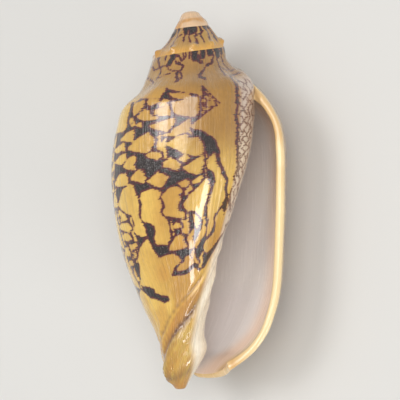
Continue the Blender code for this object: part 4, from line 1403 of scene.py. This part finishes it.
class VoluteShellSettings(bpy.types.PropertyGroup):
    """Sizes and colours of the shell."""

    spine_height: FloatProperty(name="Spine Height", description="Height of the spire's spines",
                                default=0.0009, min=0.0, max=0.003, unit='LENGTH', precision=5)
    spines: IntProperty(name="Spines per Turn", description="Number of spines to one turn of the spire",
                        default=10, min=4, max=20)
    marking_seed: IntProperty(name="Marking Seed", description="Start of the random draws for the markings",
                              default=5, min=0, max=1000)
    roughness: FloatProperty(name="Roughness", description="Roughness of the glaze", default=0.24,
                             min=0.05, max=1.0, subtype='FACTOR')
    coat: FloatProperty(name="Coat", description="Strength of the clear gloss over the glaze", default=0.9,
                        min=0.0, max=1.0, subtype='FACTOR')
    ground: paint("Ground", "Golden tan between the markings", 196, 148, 66)
    # Colour of the random pale patches, and of the painted light at the left edge of the side that lies up
    ground_pale_and_lit: paint("Light Ground", "Pale patches of the ground", 240, 200, 100)
    # Colour of the brown patches, rings and creases, and of the painted shade along the spire's suture
    ground_deep_and_shade: paint("Deep Ground", "Brown patches of the ground", 182, 128, 56)
    bare: paint("Bare Ground", "Duller tan of the large clearing beside the aperture", 166, 122, 56)
    ramp: paint("Ramp", "Duller tan above the shoulder and on the spire", 160, 120, 66)
    veil: paint("Veil", "Greyish glaze beside the aperture", 210, 192, 178)
    spine_orange: paint("Spine Orange", "Orange between the spines and on the callus", 202, 142, 62)
    nucleus: paint("Nucleus", "Pinkish cream of the first whorls", 220, 184, 146)
    base_amber: paint("Base Amber", "Amber of the base", 230, 180, 74)
    fasciole: paint("Fasciole", "Yellow of the ridge round the base", 206, 170, 80)
    fasciole_line: paint("Fasciole Line", "Purple line in the ridge's groove", 92, 56, 52)
    columella: paint("Columella", "Cream glaze of the columella", 250, 238, 216)
    porcelain: paint("Porcelain", "White of the inside", 248, 242, 238)
    porcelain_shade: paint("Porcelain Shade", "Lilac grey of the inside", 240, 232, 234)
    lip_peach: paint("Lip Peach", "Peach band inside the lip", 248, 216, 192)
    lip_cream: paint("Lip Cream", "Cream of the lip's edge", 242, 214, 160)
    halo: paint("Halo", "Brown tinge beside the ink", 150, 100, 62)
    ink_thin: paint("Thin Ink", "Purple-brown of thin lines", 88, 28, 34)
    ink_thick: paint("Thick Ink", "Near black of thick lines", 30, 17, 19)
    ink_speck: paint("Ink Specks", "Grey-blue specks in thick lines", 146, 138, 132)


class VoluteStageSettings(bpy.types.PropertyGroup):
    """Sizes, colours and light levels of the studio."""

    floor_colour: paint("Floor", "Colour of the floor", 214, 213, 210)
    floor_radius: FloatProperty(name="Floor Radius", description="Radius of the round floor", default=2.5,
                                min=0.3, max=20.0, unit='LENGTH')
    backdrop: paint("Backdrop", "Colour seen beyond the floor's edge", 200, 199, 196)
    ambient: FloatProperty(name="Ambient", description="Level of the surrounding light", default=0.5,
                           min=0.0, max=3.0)
    key_power: FloatProperty(name="Key Power", description="Power of the lamp at the right", default=0.09,
                             min=0.0, max=50.0, unit='POWER')
    fill_power: FloatProperty(name="Fill Power", description="Power of the lamp at the left", default=0.17,
                              min=0.0, max=50.0, unit='POWER')
    front_strength: FloatProperty(name="Front Strength", default=1.06, min=0.0, max=20.0,
                                  description="Strength of the far lamp beside the camera")
    lens: FloatProperty(name="Lens", description="Focal length of the camera in millimetres", default=250.0,
                        min=20.0, max=400.0)
    view_width: FloatProperty(name="View Width", description="Width that the camera sees at the shell",
                              default=0.0904, min=0.02, max=1.0, unit='LENGTH', precision=4)


class VOLUTE_OT_shell(bpy.types.Operator):
    """Grow the volute shell where the frame's shell lies"""

    bl_idname = "volute.shell"
    bl_label = "Grow Shell"

    def execute(self, context):
        build_shell(context.scene.volute_shell)
        return {'FINISHED'}


class VOLUTE_OT_stage(bpy.types.Operator):
    """Set up the floor, surroundings, lamps and camera"""

    bl_idname = "volute.stage"
    bl_label = "Set Up Studio"

    def execute(self, context):
        build_studio(context.scene.volute_stage)
        return {'FINISHED'}


class VOLUTE_PT_panel(bpy.types.Panel):
    """Sizes, colours and buttons for the shell and its studio"""

    bl_idname = "VOLUTE_PT_panel"
    bl_label = "Volute Shell"
    bl_space_type = 'VIEW_3D'
    bl_region_type = 'UI'
    bl_category = "Volute Shell"

    def draw(self, context):
        for settings, operator in ((context.scene.volute_shell, "volute.shell"),
                                   (context.scene.volute_stage, "volute.stage")):
            box = self.layout.box()
            for name in settings.__annotations__:
                box.prop(settings, name)
            box.operator(operator)


CLASSES = (VoluteShellSettings, VoluteStageSettings, VOLUTE_OT_shell, VOLUTE_OT_stage, VOLUTE_PT_panel)


def register():
    for item in CLASSES:
        bpy.utils.register_class(item)
    bpy.types.Scene.volute_shell = PointerProperty(type=VoluteShellSettings)
    bpy.types.Scene.volute_stage = PointerProperty(type=VoluteStageSettings)


def unregister():
    del bpy.types.Scene.volute_stage
    del bpy.types.Scene.volute_shell
    for item in reversed(CLASSES):
        bpy.utils.unregister_class(item)


def main():
    """Registers the add-on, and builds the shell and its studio."""
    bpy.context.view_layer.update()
    register()
    bpy.ops.volute.shell()
    bpy.ops.volute.stage()


if __name__ == "__main__":
    main()
